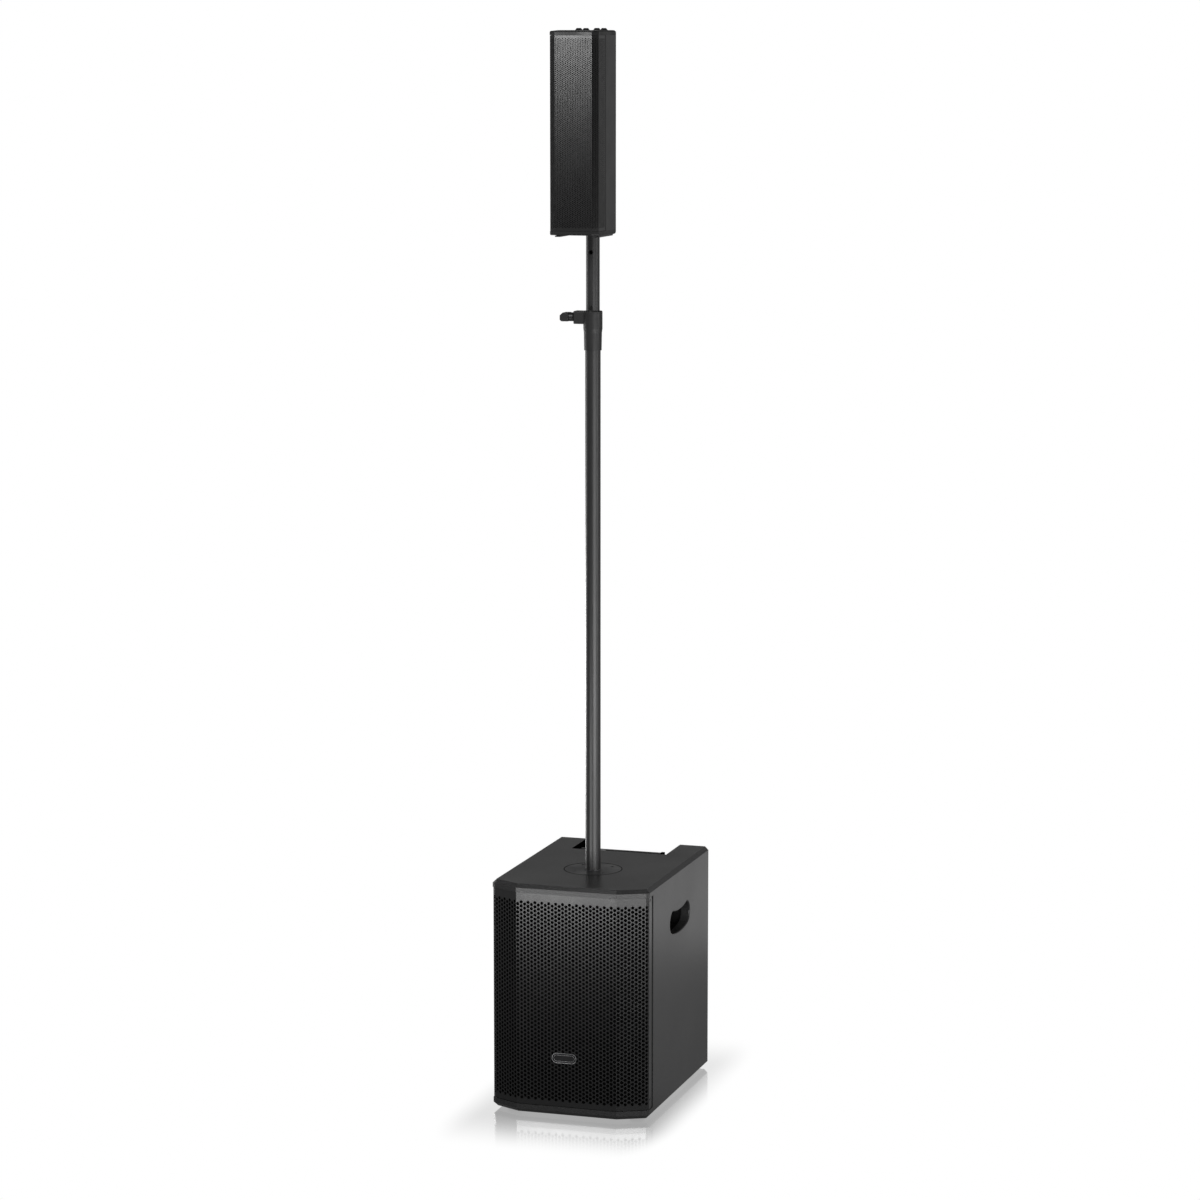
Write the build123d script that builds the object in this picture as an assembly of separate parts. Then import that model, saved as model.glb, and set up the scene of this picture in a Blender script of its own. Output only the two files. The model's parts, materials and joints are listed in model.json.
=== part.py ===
from build123d import *
import math
import os

# Portable column PA speaker: a small active subwoofer, a telescopic pole that plugs into its top and
# a slim satellite head with a column of small drivers. Millimetres, +Z up, front towards -Y, origin
# on the floor under the middle of the subwoofer. Left and right are as seen from the front.

# ---------------------------------------------------------------- driving dimensions
# Cabinet
FOOT_H = 5.0
FOOT_R = 16.0
FOOT_X = 125.0
FOOT_SETBACKS = (62.0, 411.0)
CABINET_W = 320.0
CABINET_D = 443.0
CABINET_H = 455.0
BOARD = 18.0
TOP_BOARD = 16.0
BOTTOM_BOARD = 17.0
EDGE_CHAMFER = 7.2
CREASE_X = 102.0
FACET_DEPTH = 25.8
CORNER_CHAMFER = 5.4
BAFFLE_SETBACK = 44.0
POLE_SETBACK = 174.0
NOTCH_W = 200.0
NOTCH_DEPTH = 100.0
PLATE_REBATE = 6.0

# Pole socket
SOCKET_FLANGE_R = 56.8
SOCKET_FLANGE_T = 4.0
SOCKET_GAP = 0.4
SOCKET_CUP_R = 22.0
SOCKET_DEPTH = 78.0
SOCKET_SCREW_OFFSET = 30.0
COUNTERSINK = 2.6

# Grille of the subwoofer
GRILLE_GAP = 1.2
GRILLE_T = 1.5
GRILLE_SIDE = 18.5
GRILLE_SLOT = 5.0
GRILLE_LEDGE = 6.5
GRILLE_CORNER_R = 8.0
GRILLE_SCREW_R = 3.2
FOAM_T = 4.0
BADGE_W = 50.0
BADGE_H = 20.0
BADGE_X = -4.0
BADGE_Z = 120.0

# Finger openings
HANDLE_Y = 18.0
HANDLE_TOP = 376.0 + FOOT_H
HANDLE_W = 138.0
HANDLE_H = 49.5
HANDLE_SAG = 6.0
HANDLE_RIM = 2.5
HANDLE_CUP_DEPTH = 46.0
HANDLE_CUP_WALL = 2.5
HANDLE_CUP_GROW = 6.0

# Woofer and port
WOOFER_Z = 180.0
WOOFER_R = 104.0
BASKET_R = 91.5
BASKET_T = 2.0
CONE_R = 86.0
MOTOR_DEPTH = 60.0
MAGNET_R = 62.0
MOTOR_PLATE_R = 48.0
COIL_R = 24.4
COIL_T = 1.4
PORT_Z = 358.0
PORT_R = 34.0
PORT_WALL = 3.2
PORT_LENGTH = 98.0

# Amplifier and controls
AMP_BOTTOM = 50.0
AMP_TOP = 360.0
AMP_PLATE_T = 3.0
AMP_PLATE_SETBACK = 2.0
SLOPE_SHELF = 30.0
SLOPE_FOOT_SETBACK = 10.0
SLOPE_FOOT_LIFT = 8.0
TRAY_HALF_W = 88.0
TRAY_T = 2.5
KNOB_PLACES = {"mic_knob": -60.0, "line_knob": -20.0, "bass_knob": 20.0}
KNOB_R = 8.0
KNOB_SHAFT_R = 3.1
PAIR_X = 58.0
PAIR_R = 4.1
INPUT_X = (-60.0, 0.0)
INPUT_Z = 305.0
INPUT_R = 13.0
LINK_X = (-60.0, 0.0)
LINK_Z = 205.0
LINK_R = 14.0
RING_R = 11.0
PIN_R = 5.0
HEATSINK_W = 150.0
HEATSINK_H = 90.0
HEATSINK_LIFT = 12.0
HEATSINK_FINS = 13
INLET_X = 62.0
INLET_Z = 205.0
SWITCH_X = 62.0
SWITCH_Z = 255.0
SWITCH_H = 13.0
SWITCH_THROW = 16.0
SWITCH_HINGE_SETBACK = 6.0
SWITCH_PIVOT_R = 1.6
BOARD_SETBACK = 60.0

# Pole
LOWER_TUBE_R = 15.0
UPPER_TUBE_R = 13.25
TUBE_WALL = 1.5
RUNNING_GAP = 0.05
LOWER_TUBE_TOP = 1530.0
COLLAR_BOTTOM = 1479.5 + FOOT_H
COLLAR_TOP = 1555.5 + FOOT_H
COLLAR_R = 18.6
CLAMP_Z = 1543.0 + FOOT_H
BOSS_REACH = 36.5
BOSS_HALF_W = 11.0
STUD_R = 4.0
STUD_TIP = 16.5
STUD_REACH = 56.0
HUB_R = 5.4
HUB_REACH = 47.0
HUB_RING_R = 7.2
HUB_RINGS = (39.5, 43.5)
GRIP_REACH = 64.0
GRIP_HALF_W = 12.0
GRIP_HALF_H = 8.5
BUTTON_Z = 1562.0 + FOOT_H
SPRING_REACH = 34.0
BUTTON_R = 3.9
HOLE_PITCH = 106.5
UPPER_TUBE_BOTTOM = 1045.0
BUSH_LENGTH = 24.0
BUSH_BORE_R = 10.4
BUSH_PLUG = 20.0

# Satellite head
HEAD_BOTTOM = 1704.2 + FOOT_H
HEAD_TOP = 2091.0 + FOOT_H
HEAD_W = 97.2
HEAD_CREASE_X = 36.8
HEAD_FRONT = 122.9
HEAD_FACET_DEPTH = 7.0
HEAD_REAR = 30.0
HEAD_REAR_X = 28.0
HEAD_TAPER = 7.0
HEAD_CAP = 9.5
HEAD_RIM_R = 5.0
HEAD_WALL = 5.0
HEAD_STEP = 72.0
HEAD_BAFFLE = 104.0
HEAD_GRILLE_GAP = 0.4
HEAD_GRILLE_T = 1.2
HEAD_SOCKET_R = 17.0
HEAD_SOCKET_DEPTH = 80.0
CONNECTOR_LIFT = 44.0
LUG_H = 4.0
DRIVER_COUNT = 4
DRIVER_PITCH = 90.0
DRIVER_R = 33.0

# ---------------------------------------------------------------- derived places
FRONT = -CABINET_D / 2
REAR = CABINET_D / 2
BASE = FOOT_H
TOP = FOOT_H + CABINET_H
POLE_Y = FRONT + POLE_SETBACK
HALF_W = CABINET_W / 2
INNER_X = HALF_W - BOARD
PANEL_Z0 = BASE + BOTTOM_BOARD
PANEL_Z1 = TOP - TOP_BOARD
SIDE_CORNER_Y = FRONT + FACET_DEPTH + CORNER_CHAMFER
GRILLE_END_Y = SIDE_CORNER_Y + GRILLE_SIDE
SIDE_SHOULDER_Y = GRILLE_END_Y + GRILLE_SLOT
GRILLE_LEDGE_X = HALF_W - GRILLE_LEDGE
BAFFLE_FRONT = FRONT + BAFFLE_SETBACK
NOTCH_Y = REAR - NOTCH_DEPTH
SOCKET_FLOOR = TOP - SOCKET_DEPTH
PLATE_FACE = REAR - AMP_PLATE_SETBACK
PLATE_BACK = PLATE_FACE - AMP_PLATE_T
SLOPE_TOP = (NOTCH_Y + SLOPE_SHELF, PANEL_Z1 - 3.0)
SLOPE_FOOT = (REAR - SLOPE_FOOT_SETBACK, AMP_TOP + SLOPE_FOOT_LIFT)
SLOPE_ANGLE = math.degrees(math.atan2(SLOPE_TOP[1] - SLOPE_FOOT[1], SLOPE_FOOT[0] - SLOPE_TOP[0]))
SLOPE_LENGTH = math.dist(SLOPE_TOP, SLOPE_FOOT)
HEATSINK_Z0 = AMP_BOTTOM + HEATSINK_LIFT
HEATSINK_Z1 = HEATSINK_Z0 + HEATSINK_H
SWITCH_HINGE_Y = REAR - SWITCH_HINGE_SETBACK
HEAD_MIDDLE = (HEAD_BOTTOM + HEAD_TOP) / 2
HEAD_STEP_Y = POLE_Y - HEAD_STEP
HEAD_BAFFLE_Y = POLE_Y - HEAD_BAFFLE
HEAD_SOCKET_TOP = HEAD_BOTTOM + HEAD_SOCKET_DEPTH
FAR = 1000.0


# ---------------------------------------------------------------- shape helpers
def block(x0, x1, y0, y1, z0, z1):
    """Box between two opposite corners."""
    centre = Pos((x0 + x1) / 2, (y0 + y1) / 2, (z0 + z1) / 2)
    return centre * Box(abs(x1 - x0), abs(y1 - y0), abs(z1 - z0))


def outline(points):
    """Flat face on XY from its corner points."""
    return make_face(Polyline(*points, close=True))


def prism(face, z0, z1):
    """Upright prism on a flat XY face."""
    return extrude(Pos(0, 0, z0) * face, amount=z1 - z0, dir=(0, 0, 1))


def prism_x(points, x0, x1):
    """Prism along X on a (y, z) outline."""
    face = make_face(Polyline(*[(x0, y, z) for y, z in points], close=True))
    return extrude(face, amount=x1 - x0, dir=(1, 0, 0))


def turned(points, z):
    """Solid of revolution about the front-to-back axis at height z, from (radius, y) points."""
    return Pos(0, 0, z) * revolve(outline(points), axis=Axis.Y)


def turned_z(points, y):
    """Solid of revolution about an upright axis at y, from (radius, z) points."""
    face = make_face(Polyline(*[(r, 0, z) for r, z in points], close=True))
    return Pos(0, y, 0) * revolve(face, axis=Axis.Z)


def rod_z(x, y, r, z0, z1):
    return Pos(x, y, (z0 + z1) / 2) * Cylinder(r, z1 - z0)


def rod_y(x, z, r, y0, y1):
    return Pos(x, (y0 + y1) / 2, z) * Rot(90, 0, 0) * Cylinder(r, y1 - y0)


def rod_x(y, z, r, x0, x1):
    return Pos((x0 + x1) / 2, y, z) * Rot(0, 90, 0) * Cylinder(r, abs(x1 - x0))


def mirrored(points):
    """Add the mirror image across X of a half outline, so that it closes on itself."""
    return points + [(-x, y) for x, y in reversed(points)]


def cross_screw(head_r, head_t, shank_r, length):
    """Screw along -Z with its head's underside at z = 0 and a cross recess in the head."""
    head = Pos(0, 0, head_t / 2) * Cylinder(head_r, head_t)
    shank = Pos(0, 0, -length / 2) * Cylinder(shank_r, length)
    slot_w = head_r * 0.24
    slot_l = head_r * 1.1
    bit = Box(slot_l, slot_w, head_t) + Box(slot_w, slot_l, head_t)
    return head + shank - Pos(0, 0, head_t * 0.9) * bit


# ---------------------------------------------------------------- subwoofer cabinet
def cabinet_plan():
    """Plan of the cabinet: flat front, slanted front corners with a chamfered edge, straight sides."""
    facet_x = HALF_W - CORNER_CHAMFER
    half = [
        (CREASE_X, FRONT),
        (facet_x, FRONT + FACET_DEPTH),
        (HALF_W, SIDE_CORNER_Y),
        (HALF_W, REAR),
    ]
    return outline(mirrored(half))


def chamfered_board(z0, z1, rim_z):
    """Board on the cabinet plan with a chamfer round its front and sides at height rim_z."""
    board = prism(cabinet_plan(), z0, z1)
    rim = [
        edge
        for edge in board.edges().filter_by_position(Axis.Z, rim_z - 0.01, rim_z + 0.01)
        if edge.center().Y < REAR - 1
    ]
    return chamfer(rim, EDGE_CHAMFER)


def handle_face(grow=0.0):
    """Finger opening on XY as (along Y, up Z): sagging grip edge, round ends, curved lower edge."""
    peak = HANDLE_W * 0.35
    foot = HANDLE_W * 0.385
    low = HANDLE_TOP - HANDLE_H
    foot_z = low + HANDLE_SAG
    end_z = HANDLE_TOP - HANDLE_H * 0.47
    edges = [
        ThreePointArc((-peak, HANDLE_TOP), (0, HANDLE_TOP - HANDLE_SAG), (peak, HANDLE_TOP)),
        ThreePointArc((peak, HANDLE_TOP), (HANDLE_W / 2, end_z), (foot, foot_z)),
        ThreePointArc((foot, foot_z), (0, low), (-foot, foot_z)),
        ThreePointArc((-foot, foot_z), (-HANDLE_W / 2, end_z), (-peak, HANDLE_TOP)),
    ]
    face = make_face(edges)
    face = Pos(HANDLE_Y, 0) * fillet(face.vertices(), 5.0)
    return offset(face, grow, kind=Kind.INTERSECTION) if grow else face


def handle_prism(grow, x0, x1):
    """The finger opening pushed through from x0 to x1."""
    face = Plane.YZ * handle_face(grow)
    return extrude(Pos(x0, 0, 0) * face, amount=x1 - x0, dir=(1, 0, 0))


def top_panel():
    board = chamfered_board(PANEL_Z1, TOP, TOP)
    board -= block(-NOTCH_W / 2, NOTCH_W / 2, NOTCH_Y, REAR + 1, PANEL_Z1 - 1, TOP + 1)
    board -= rod_z(0, POLE_Y, SOCKET_FLANGE_R + SOCKET_GAP, TOP - SOCKET_FLANGE_T, TOP + 1)
    for x, y in socket_screw_spots():
        board -= rod_z(x, y, 2.05, TOP - 12, TOP)
    return board - rod_z(0, POLE_Y, SOCKET_CUP_R + 0.5, PANEL_Z1 - 1, TOP)


def bottom_panel():
    return chamfered_board(BASE, PANEL_Z0, BASE)


def side_panel(side):
    """Side board with the finger opening and a ledge for the grille's flange at its front."""
    board = block(INNER_X, HALF_W, SIDE_SHOULDER_Y, REAR, PANEL_Z0, PANEL_Z1)
    board += block(INNER_X, GRILLE_LEDGE_X, SIDE_CORNER_Y + 1, SIDE_SHOULDER_Y, PANEL_Z0, PANEL_Z1)
    board -= handle_prism(0, INNER_X - 1, HALF_W + 1)
    rim = [
        edge
        for edge in board.edges().filter_by_position(Axis.X, HALF_W - 0.01, HALF_W + 0.01)
        if edge.geom_type == GeomType.CIRCLE
    ]
    board = fillet(rim, HANDLE_RIM)
    return board if side > 0 else mirror(board, Plane.YZ)


def front_baffle():
    back = BAFFLE_FRONT + BOARD
    board = block(-INNER_X, INNER_X, BAFFLE_FRONT, back, PANEL_Z0, PANEL_Z1)
    board -= rod_y(0, WOOFER_Z, BASKET_R + BASKET_T + 0.5, BAFFLE_FRONT - 1, back + 1)
    return board - rod_y(0, PORT_Z, PORT_R + PORT_WALL, BAFFLE_FRONT - 1, back + 1)


def rear_panel():
    """Rear board, open upwards for the control recess, with a rebate for the amplifier plate."""
    board = block(-INNER_X, INNER_X, REAR - BOARD, REAR, PANEL_Z0, PANEL_Z1)
    board -= block(-NOTCH_W / 2, NOTCH_W / 2, REAR - PLATE_REBATE, REAR + 1, AMP_BOTTOM, PANEL_Z1 + 1)
    window = NOTCH_W / 2 - 10
    return board - block(-window, window, REAR - BOARD - 1, REAR, AMP_BOTTOM + 10, PANEL_Z1 + 1)


def handle_cup(side):
    """Moulded pocket behind the finger opening, wider than it so that fingers curl over the edge."""
    wall = HANDLE_CUP_WALL
    depth = INNER_X - HANDLE_CUP_DEPTH
    flange = HANDLE_W / 2 + 19
    cup = handle_prism(HANDLE_CUP_GROW + wall, depth, INNER_X)
    cup += block(INNER_X - 3, INNER_X, HANDLE_Y - flange, HANDLE_Y + flange,
                 HANDLE_TOP - HANDLE_H - 26.5, HANDLE_TOP + 26)
    cup -= handle_prism(HANDLE_CUP_GROW, depth + wall, INNER_X + 1)
    return cup if side > 0 else mirror(cup, Plane.YZ)


def rubber_feet():
    spots = [(x, FRONT + back) for x in (-FOOT_X, FOOT_X) for back in FOOT_SETBACKS]
    return [Pos(x, y, BASE / 2) * Cone(FOOT_R - 2, FOOT_R, BASE) for x, y in spots]


def pole_socket():
    """Turned socket: a round flange flush with the top and a closed cup that holds the pole."""
    flange = TOP - SOCKET_FLANGE_T
    bore = LOWER_TUBE_R + RUNNING_GAP
    lead_in = 0.8
    points = [
        (0, SOCKET_FLOOR - 4),
        (SOCKET_CUP_R - 1, SOCKET_FLOOR - 4),
        (SOCKET_CUP_R, flange),
        (SOCKET_FLANGE_R, flange),
        (SOCKET_FLANGE_R, TOP),
        (bore + lead_in, TOP),
        (bore, TOP - lead_in),
        (bore, SOCKET_FLOOR),
        (0, SOCKET_FLOOR),
    ]
    socket = turned_z(points, POLE_Y)
    for x, y in socket_screw_spots():
        socket -= rod_z(x, y, 3.6, TOP - COUNTERSINK, TOP + 1)
        socket -= rod_z(x, y, 2.2, flange - 1, TOP)
    return socket


def socket_screw_spots():
    reach = SOCKET_SCREW_OFFSET
    return [(x, POLE_Y + y) for x in (-reach, reach) for y in (-reach, reach)]


def socket_screws():
    screw = cross_screw(3.4, 2.0, 2.0, 9)
    return [Pos(x, y, TOP - COUNTERSINK) * screw for x, y in socket_screw_spots()]


# ---------------------------------------------------------------- subwoofer grille
def plan_ring(outer, inner, y_end, z0, z1):
    """Sheet that follows the front of the cabinet plan between two insets, cut off at y_end."""
    plan = cabinet_plan()
    face = offset(plan, -outer, kind=Kind.INTERSECTION) - offset(plan, -inner, kind=Kind.INTERSECTION)
    sheet = prism(face, z0, z1)
    return sheet & block(-HALF_W, HALF_W, FRONT - 1, y_end, z0, z1)


def sub_grille():
    """Bent steel sheet over the front, wrapped a little way round both sides."""
    z0 = PANEL_Z0 + 1.0
    sheet = plan_ring(GRILLE_GAP, GRILLE_GAP + GRILLE_T, GRILLE_END_Y, z0, PANEL_Z1 - 0.5)
    corners = [
        edge
        for edge in sheet.edges().filter_by(Axis.X)
        if abs(edge.center().Y - GRILLE_END_Y) < 0.01 and edge.center().Z < z0 + 1
    ]
    sheet = fillet(corners, GRILLE_CORNER_R)
    for y, z in grille_screw_spots():
        sheet -= rod_x(y, z, GRILLE_SCREW_R + 0.15, -HALF_W, HALF_W)
    return sheet


def grille_screw_spots():
    return [(SIDE_CORNER_Y + 6, z) for z in (PANEL_Z0 + 20, PANEL_Z1 - 6)]


def grille_foam():
    inset = GRILLE_GAP + GRILLE_T + 0.3
    return plan_ring(inset, inset + FOAM_T, SIDE_CORNER_Y - 1, PANEL_Z0 + 1, PANEL_Z1 - 1)


def grille_screws():
    """Socket-head screws that sit in the grille's side flanges, on the side boards' ledges."""
    screws = []
    face_x = HALF_W - GRILLE_GAP - 0.4
    for y, z in grille_screw_spots():
        for side in (-1, 1):
            head = rod_x(y, z, GRILLE_SCREW_R, side * GRILLE_LEDGE_X, side * face_x)
            screws.append(head - rod_x(y, z, 1.4, side * (face_x - 1.8), side * (face_x + 1)))
    return screws


def badge():
    """Plain rounded plate low on the grille; it carries no mark."""
    plate = extrude(RectangleRounded(BADGE_W, BADGE_H, BADGE_H * 0.45), amount=GRILLE_GAP)
    return Pos(BADGE_X, FRONT + GRILLE_GAP, BADGE_Z) * Rot(90, 0, 0) * plate


# ---------------------------------------------------------------- subwoofer driver
def woofer_basket():
    """Pressed frame: mounting ring on the baffle, four spokes and a seat for the motor."""
    f = BAFFLE_FRONT
    seat = f + MOTOR_DEPTH
    outer = BASKET_R + BASKET_T
    ring = turned([(outer - 0.5, f - 4), (WOOFER_R, f - 4), (WOOFER_R, f), (outer, f), (outer, f + 8),
                   (BASKET_R, f + 8), (BASKET_R, f - 2), (outer - 0.5, f - 2)], WOOFER_Z)
    bowl = turned([(BASKET_R, f + 6), (outer, f + 6), (outer, f + 10), (MAGNET_R, seat), (40, seat),
                   (40, seat - 3), (MAGNET_R - 1, seat - 3), (BASKET_R, f + 9)], WOOFER_Z)
    windows = Part()
    for quarter in range(4):
        slot = Pos(0, f + 34, WOOFER_Z) * Rot(0, 45 + 90 * quarter, 0) * Pos(78, 0, 0)
        windows += slot * Box(60, 34, 62)
    return ring + (bowl - windows)


def woofer_magnet():
    """Ring magnet between two plates, with a pole piece; the coil works in its round gap."""
    f = BAFFLE_FRONT + MOTOR_DEPTH
    pole_r = COIL_R - 1.0
    gap_r = COIL_R + COIL_T + 1.0
    return turned([(0, f + 34), (0, f + 4), (pole_r, f + 4), (pole_r, f + 29), (gap_r, f + 29),
                   (gap_r, f), (40, f), (40, f + 6), (MAGNET_R, f + 6), (MAGNET_R, f + 26),
                   (MOTOR_PLATE_R, f + 26), (MOTOR_PLATE_R, f + 34)], WOOFER_Z)


def woofer_surround():
    """Half-roll rubber edge between the basket's ring and the cone."""
    f = BAFFLE_FRONT
    roll = turned([(86.2, f - 4), (100, f - 4), (100, f - 5.2), (99, f - 9.5), (93.5, f - 12.5),
                   (88, f - 9.5), (87, f - 5.2), (86.2, f - 5.2)], WOOFER_Z)
    core = turned([(89, f - 5), (98, f - 5), (97, f - 8.6), (93.5, f - 10.8), (90, f - 8.6)], WOOFER_Z)
    return roll - core - turned([(88, f - 4.9), (98, f - 4.9), (98, f - 3), (88, f - 3)], WOOFER_Z)


def woofer_cone():
    """Paper cone; its neck carries the coil."""
    f = BAFFLE_FRONT
    return turned([(CONE_R - 0.6, f - 5.2), (CONE_R, f - 4), (84, f - 3.5), (27, f + 42),
                   (25.6, f + 48), (24.6, f + 48), (25.4, f + 41), (83, f - 5)], WOOFER_Z)


def woofer_dust_cap():
    f = BAFFLE_FRONT
    dome = [(0, f + 18), (14, f + 21), (26, f + 28), (37, f + 33.2), (36.4, f + 34),
            (25.4, f + 29.2), (13.6, f + 22.2), (0, f + 19.2)]
    return turned(dome, WOOFER_Z) - woofer_cone()


def woofer_coil():
    front = BAFFLE_FRONT + 48
    back = BAFFLE_FRONT + 80
    return turned([(COIL_R, front), (COIL_R + COIL_T, front), (COIL_R + COIL_T, back), (COIL_R, back)],
                  WOOFER_Z)


def port_tube():
    """Flared bass port through the baffle."""
    f = BAFFLE_FRONT
    r = PORT_R
    outer = r + PORT_WALL
    return turned([(r, f + 4), (r + 3, f), (r + 10, f - 3), (r + 13, f - 3), (r + 13, f), (outer, f),
                   (outer, f + PORT_LENGTH), (r, f + PORT_LENGTH)], PORT_Z)


def damping_pad():
    """Wool lining on the bottom board behind the motor."""
    return block(-INNER_X + 2, INNER_X - 2, BAFFLE_FRONT + 104, REAR - 62, PANEL_Z0 + 0.5, PANEL_Z0 + 18)


# ---------------------------------------------------------------- amplifier and controls
def on_slope(x, piece):
    """Place a piece made on XY, with +Z outwards, halfway down the slanted control face."""
    y = (SLOPE_TOP[0] + SLOPE_FOOT[0]) / 2
    z = (SLOPE_TOP[1] + SLOPE_FOOT[1]) / 2
    return Pos(x, y, z) * Rot(-SLOPE_ANGLE, 0, 0) * piece


def control_panel():
    """Folded tray under the notch: shelf, slanted control face, foot flange and two side cheeks."""
    t = TRAY_T
    y0, z0 = SLOPE_TOP
    y1, z1 = SLOPE_FOOT
    back = NOTCH_Y - 14
    foot = AMP_TOP + 0.5
    lift = t / math.cos(math.radians(SLOPE_ANGLE))
    sheet = prism_x([(back, z0), (y0, z0), (y1, z1), (y1, foot), (y1 - t, foot), (y1 - t, z1 - 1),
                     (y0 - 1.2, z0 - lift + 1), (back, z0 - t)], -TRAY_HALF_W, TRAY_HALF_W)
    cheek = [(back, z0), (back, z0 - 40), (y1, foot), (y1, z0)]
    for side in (-1, 1):
        sheet += prism_x(cheek, side * TRAY_HALF_W, side * (TRAY_HALF_W + 1.8))
    for x in KNOB_PLACES.values():
        sheet -= on_slope(x, Cylinder(KNOB_SHAFT_R + 0.1, 20))
    return sheet - on_slope(PAIR_X, Cylinder(PAIR_R + 0.1, 20))


def panel_hood():
    """Moulded hood bar along the top of the slanted face."""
    y0, z0 = SLOPE_TOP
    back = y0 - 18
    front = y0 - 5
    return prism_x([(back, z0), (front, z0), (front, TOP - 5), (front - 3, TOP - 1.5),
                    (back, TOP - 1.5)], -TRAY_HALF_W + 4, TRAY_HALF_W - 4)


def knob():
    """Level knob, along +Z: shaft through the panel, skirt just above its face, tapering cap."""
    return turned_z([(0, -7.5), (KNOB_SHAFT_R, -7.5), (KNOB_SHAFT_R, 0.5), (KNOB_R, 0.5),
                     (KNOB_R - 0.8, 3.5), (KNOB_R - 1.6, 3.5), (KNOB_R - 2.4, 14.8),
                     (KNOB_R - 3.2, 15.6), (0, 15.6)], 0)


def pair_button():
    """Push button with a retaining flange behind the panel."""
    stem = Pos(0, 0, 0.4) * Cylinder(PAIR_R, 6.2)
    return stem + Pos(0, 0, -3.7) * Cylinder(PAIR_R + 1.3, 2.0)


def amp_plate():
    """Flat steel plate that closes the rear, with its cut-outs."""
    half = NOTCH_W / 2 - 1
    y0 = REAR - 8
    plate = block(-half, half, PLATE_BACK, PLATE_FACE, AMP_BOTTOM + 1, AMP_TOP)
    for x in INPUT_X:
        plate -= rod_y(x, INPUT_Z, INPUT_R + 0.2, y0, REAR)
    for x in LINK_X:
        plate -= rod_y(x, LINK_Z, LINK_R + 0.2, y0, REAR)
    for x, z in panel_screw_spots():
        plate -= rod_y(x, z, 1.85, y0, REAR)
    plate -= block(-HEATSINK_W / 2, HEATSINK_W / 2, y0, REAR, HEATSINK_Z0, HEATSINK_Z1)
    plate -= block(INLET_X - 14, INLET_X + 14, y0, REAR, INLET_Z - 11, INLET_Z + 11)
    return plate - block(SWITCH_X - 9, SWITCH_X + 9, y0, REAR, SWITCH_Z - 8.5, SWITCH_Z + 8.5)


def panel_screw_spots():
    heights = (AMP_BOTTOM + 8, 150, 255, AMP_TOP - 8)
    return [(x, z) for x in (-94.5, 94.5) for z in heights]


def panel_screws():
    """Pan-head screws round the amplifier plate."""
    screw = Rot(-90, 0, 0) * cross_screw(3.4, 1.8, 1.8, AMP_PLATE_T)
    return [Pos(x, PLATE_FACE, z) * screw for x, z in panel_screw_spots()]


def heatsink():
    """Finned aluminium block that looks out through the plate's window."""
    half = HEATSINK_W / 2
    z0, z1 = HEATSINK_Z0 + 1, HEATSINK_Z1 - 1
    body = block(-half + 1, half - 1, REAR - 22, REAR - 18, z0, z1)
    pitch = (HEATSINK_W - 6) / (HEATSINK_FINS - 1)
    for fin in range(HEATSINK_FINS):
        x = -half + 3 + fin * pitch
        body += block(x - 1, x + 1, REAR - 18.5, PLATE_FACE, z0, z1)
    return body


def amp_board():
    """Amplifier circuit board with its larger components, on four spacers behind the plate."""
    face = REAR - BOARD_SETBACK + 2
    board = block(-80, 80, REAR - BOARD_SETBACK, face, AMP_BOTTOM + 12, 330)
    for x, z in ((-50, 120), (0, 120), (45, 130), (-30, 250)):
        board += rod_y(x, z, 13, face, face + 20)
    for x in (-76, 76):
        for z in (180, 322):
            board += rod_y(x, z, 4, face, PLATE_BACK)
    return board + block(20, 70, face, face + 18, 230, 290)


def round_socket(x, z, r):
    """Round shell behind a square flange, along +Y, open towards the rear plate's face."""
    shell = rod_y(x, z, r, REAR - 33, PLATE_FACE)
    return shell + block(x - 15, x + 15, PLATE_FACE, REAR, z - 16, z + 16)


def input_jack(x):
    """Combined jack with an open barrel."""
    return round_socket(x, INPUT_Z, INPUT_R) - rod_y(x, INPUT_Z, 8.5, REAR - 29, REAR + 1)


def link_socket(x):
    """Twist-lock loudspeaker output: an open ring and the middle pin that stands on its floor."""
    floor = REAR - 27
    shell = round_socket(x, LINK_Z, LINK_R) - rod_y(x, LINK_Z, RING_R, floor, REAR + 1)
    return [shell, rod_y(x, LINK_Z, PIN_R, floor, REAR - 4)]


def power_inlet():
    """Mains inlet: a recessed socket and the three pins that stand on its floor."""
    x, z = INLET_X, INLET_Z
    floor = REAR - 22
    body = block(x - 13.8, x + 13.8, REAR - 30, PLATE_FACE, z - 10.8, z + 10.8)
    body += block(x - 20, x + 20, PLATE_FACE, REAR - 0.4, z - 14, z + 14)
    pieces = [body - block(x - 12, x + 12, floor, REAR + 1, z - 8, z + 8)]
    for side, lift in ((-7, -2), (7, -2), (0, 3)):
        pieces.append(block(x + side - 1, x + side + 1, floor, REAR - 6, z + lift - 2, z + lift + 2))
    return pieces


def power_switch():
    """Rocker on short pivots along X in the plate's cut-out."""
    y, z = SWITCH_HINGE_Y, SWITCH_Z
    half = SWITCH_H / 2
    outline = [(y + 4.6, z - half), (y + 3.2, z - 2), (y + 3.2, z + 2), (y + 4.6, z + half),
               (y - 3, z + half - 1.2), (y - 3, z - half + 1.2)]
    rocker = prism_x(outline, SWITCH_X - 8.4, SWITCH_X + 8.4)
    rocker += rod_x(y, z, SWITCH_PIVOT_R, SWITCH_X - 8.9, SWITCH_X + 8.9)
    return rocker.rotate(Axis((0, y, z), (1, 0, 0)), -SWITCH_THROW / 2)


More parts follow.
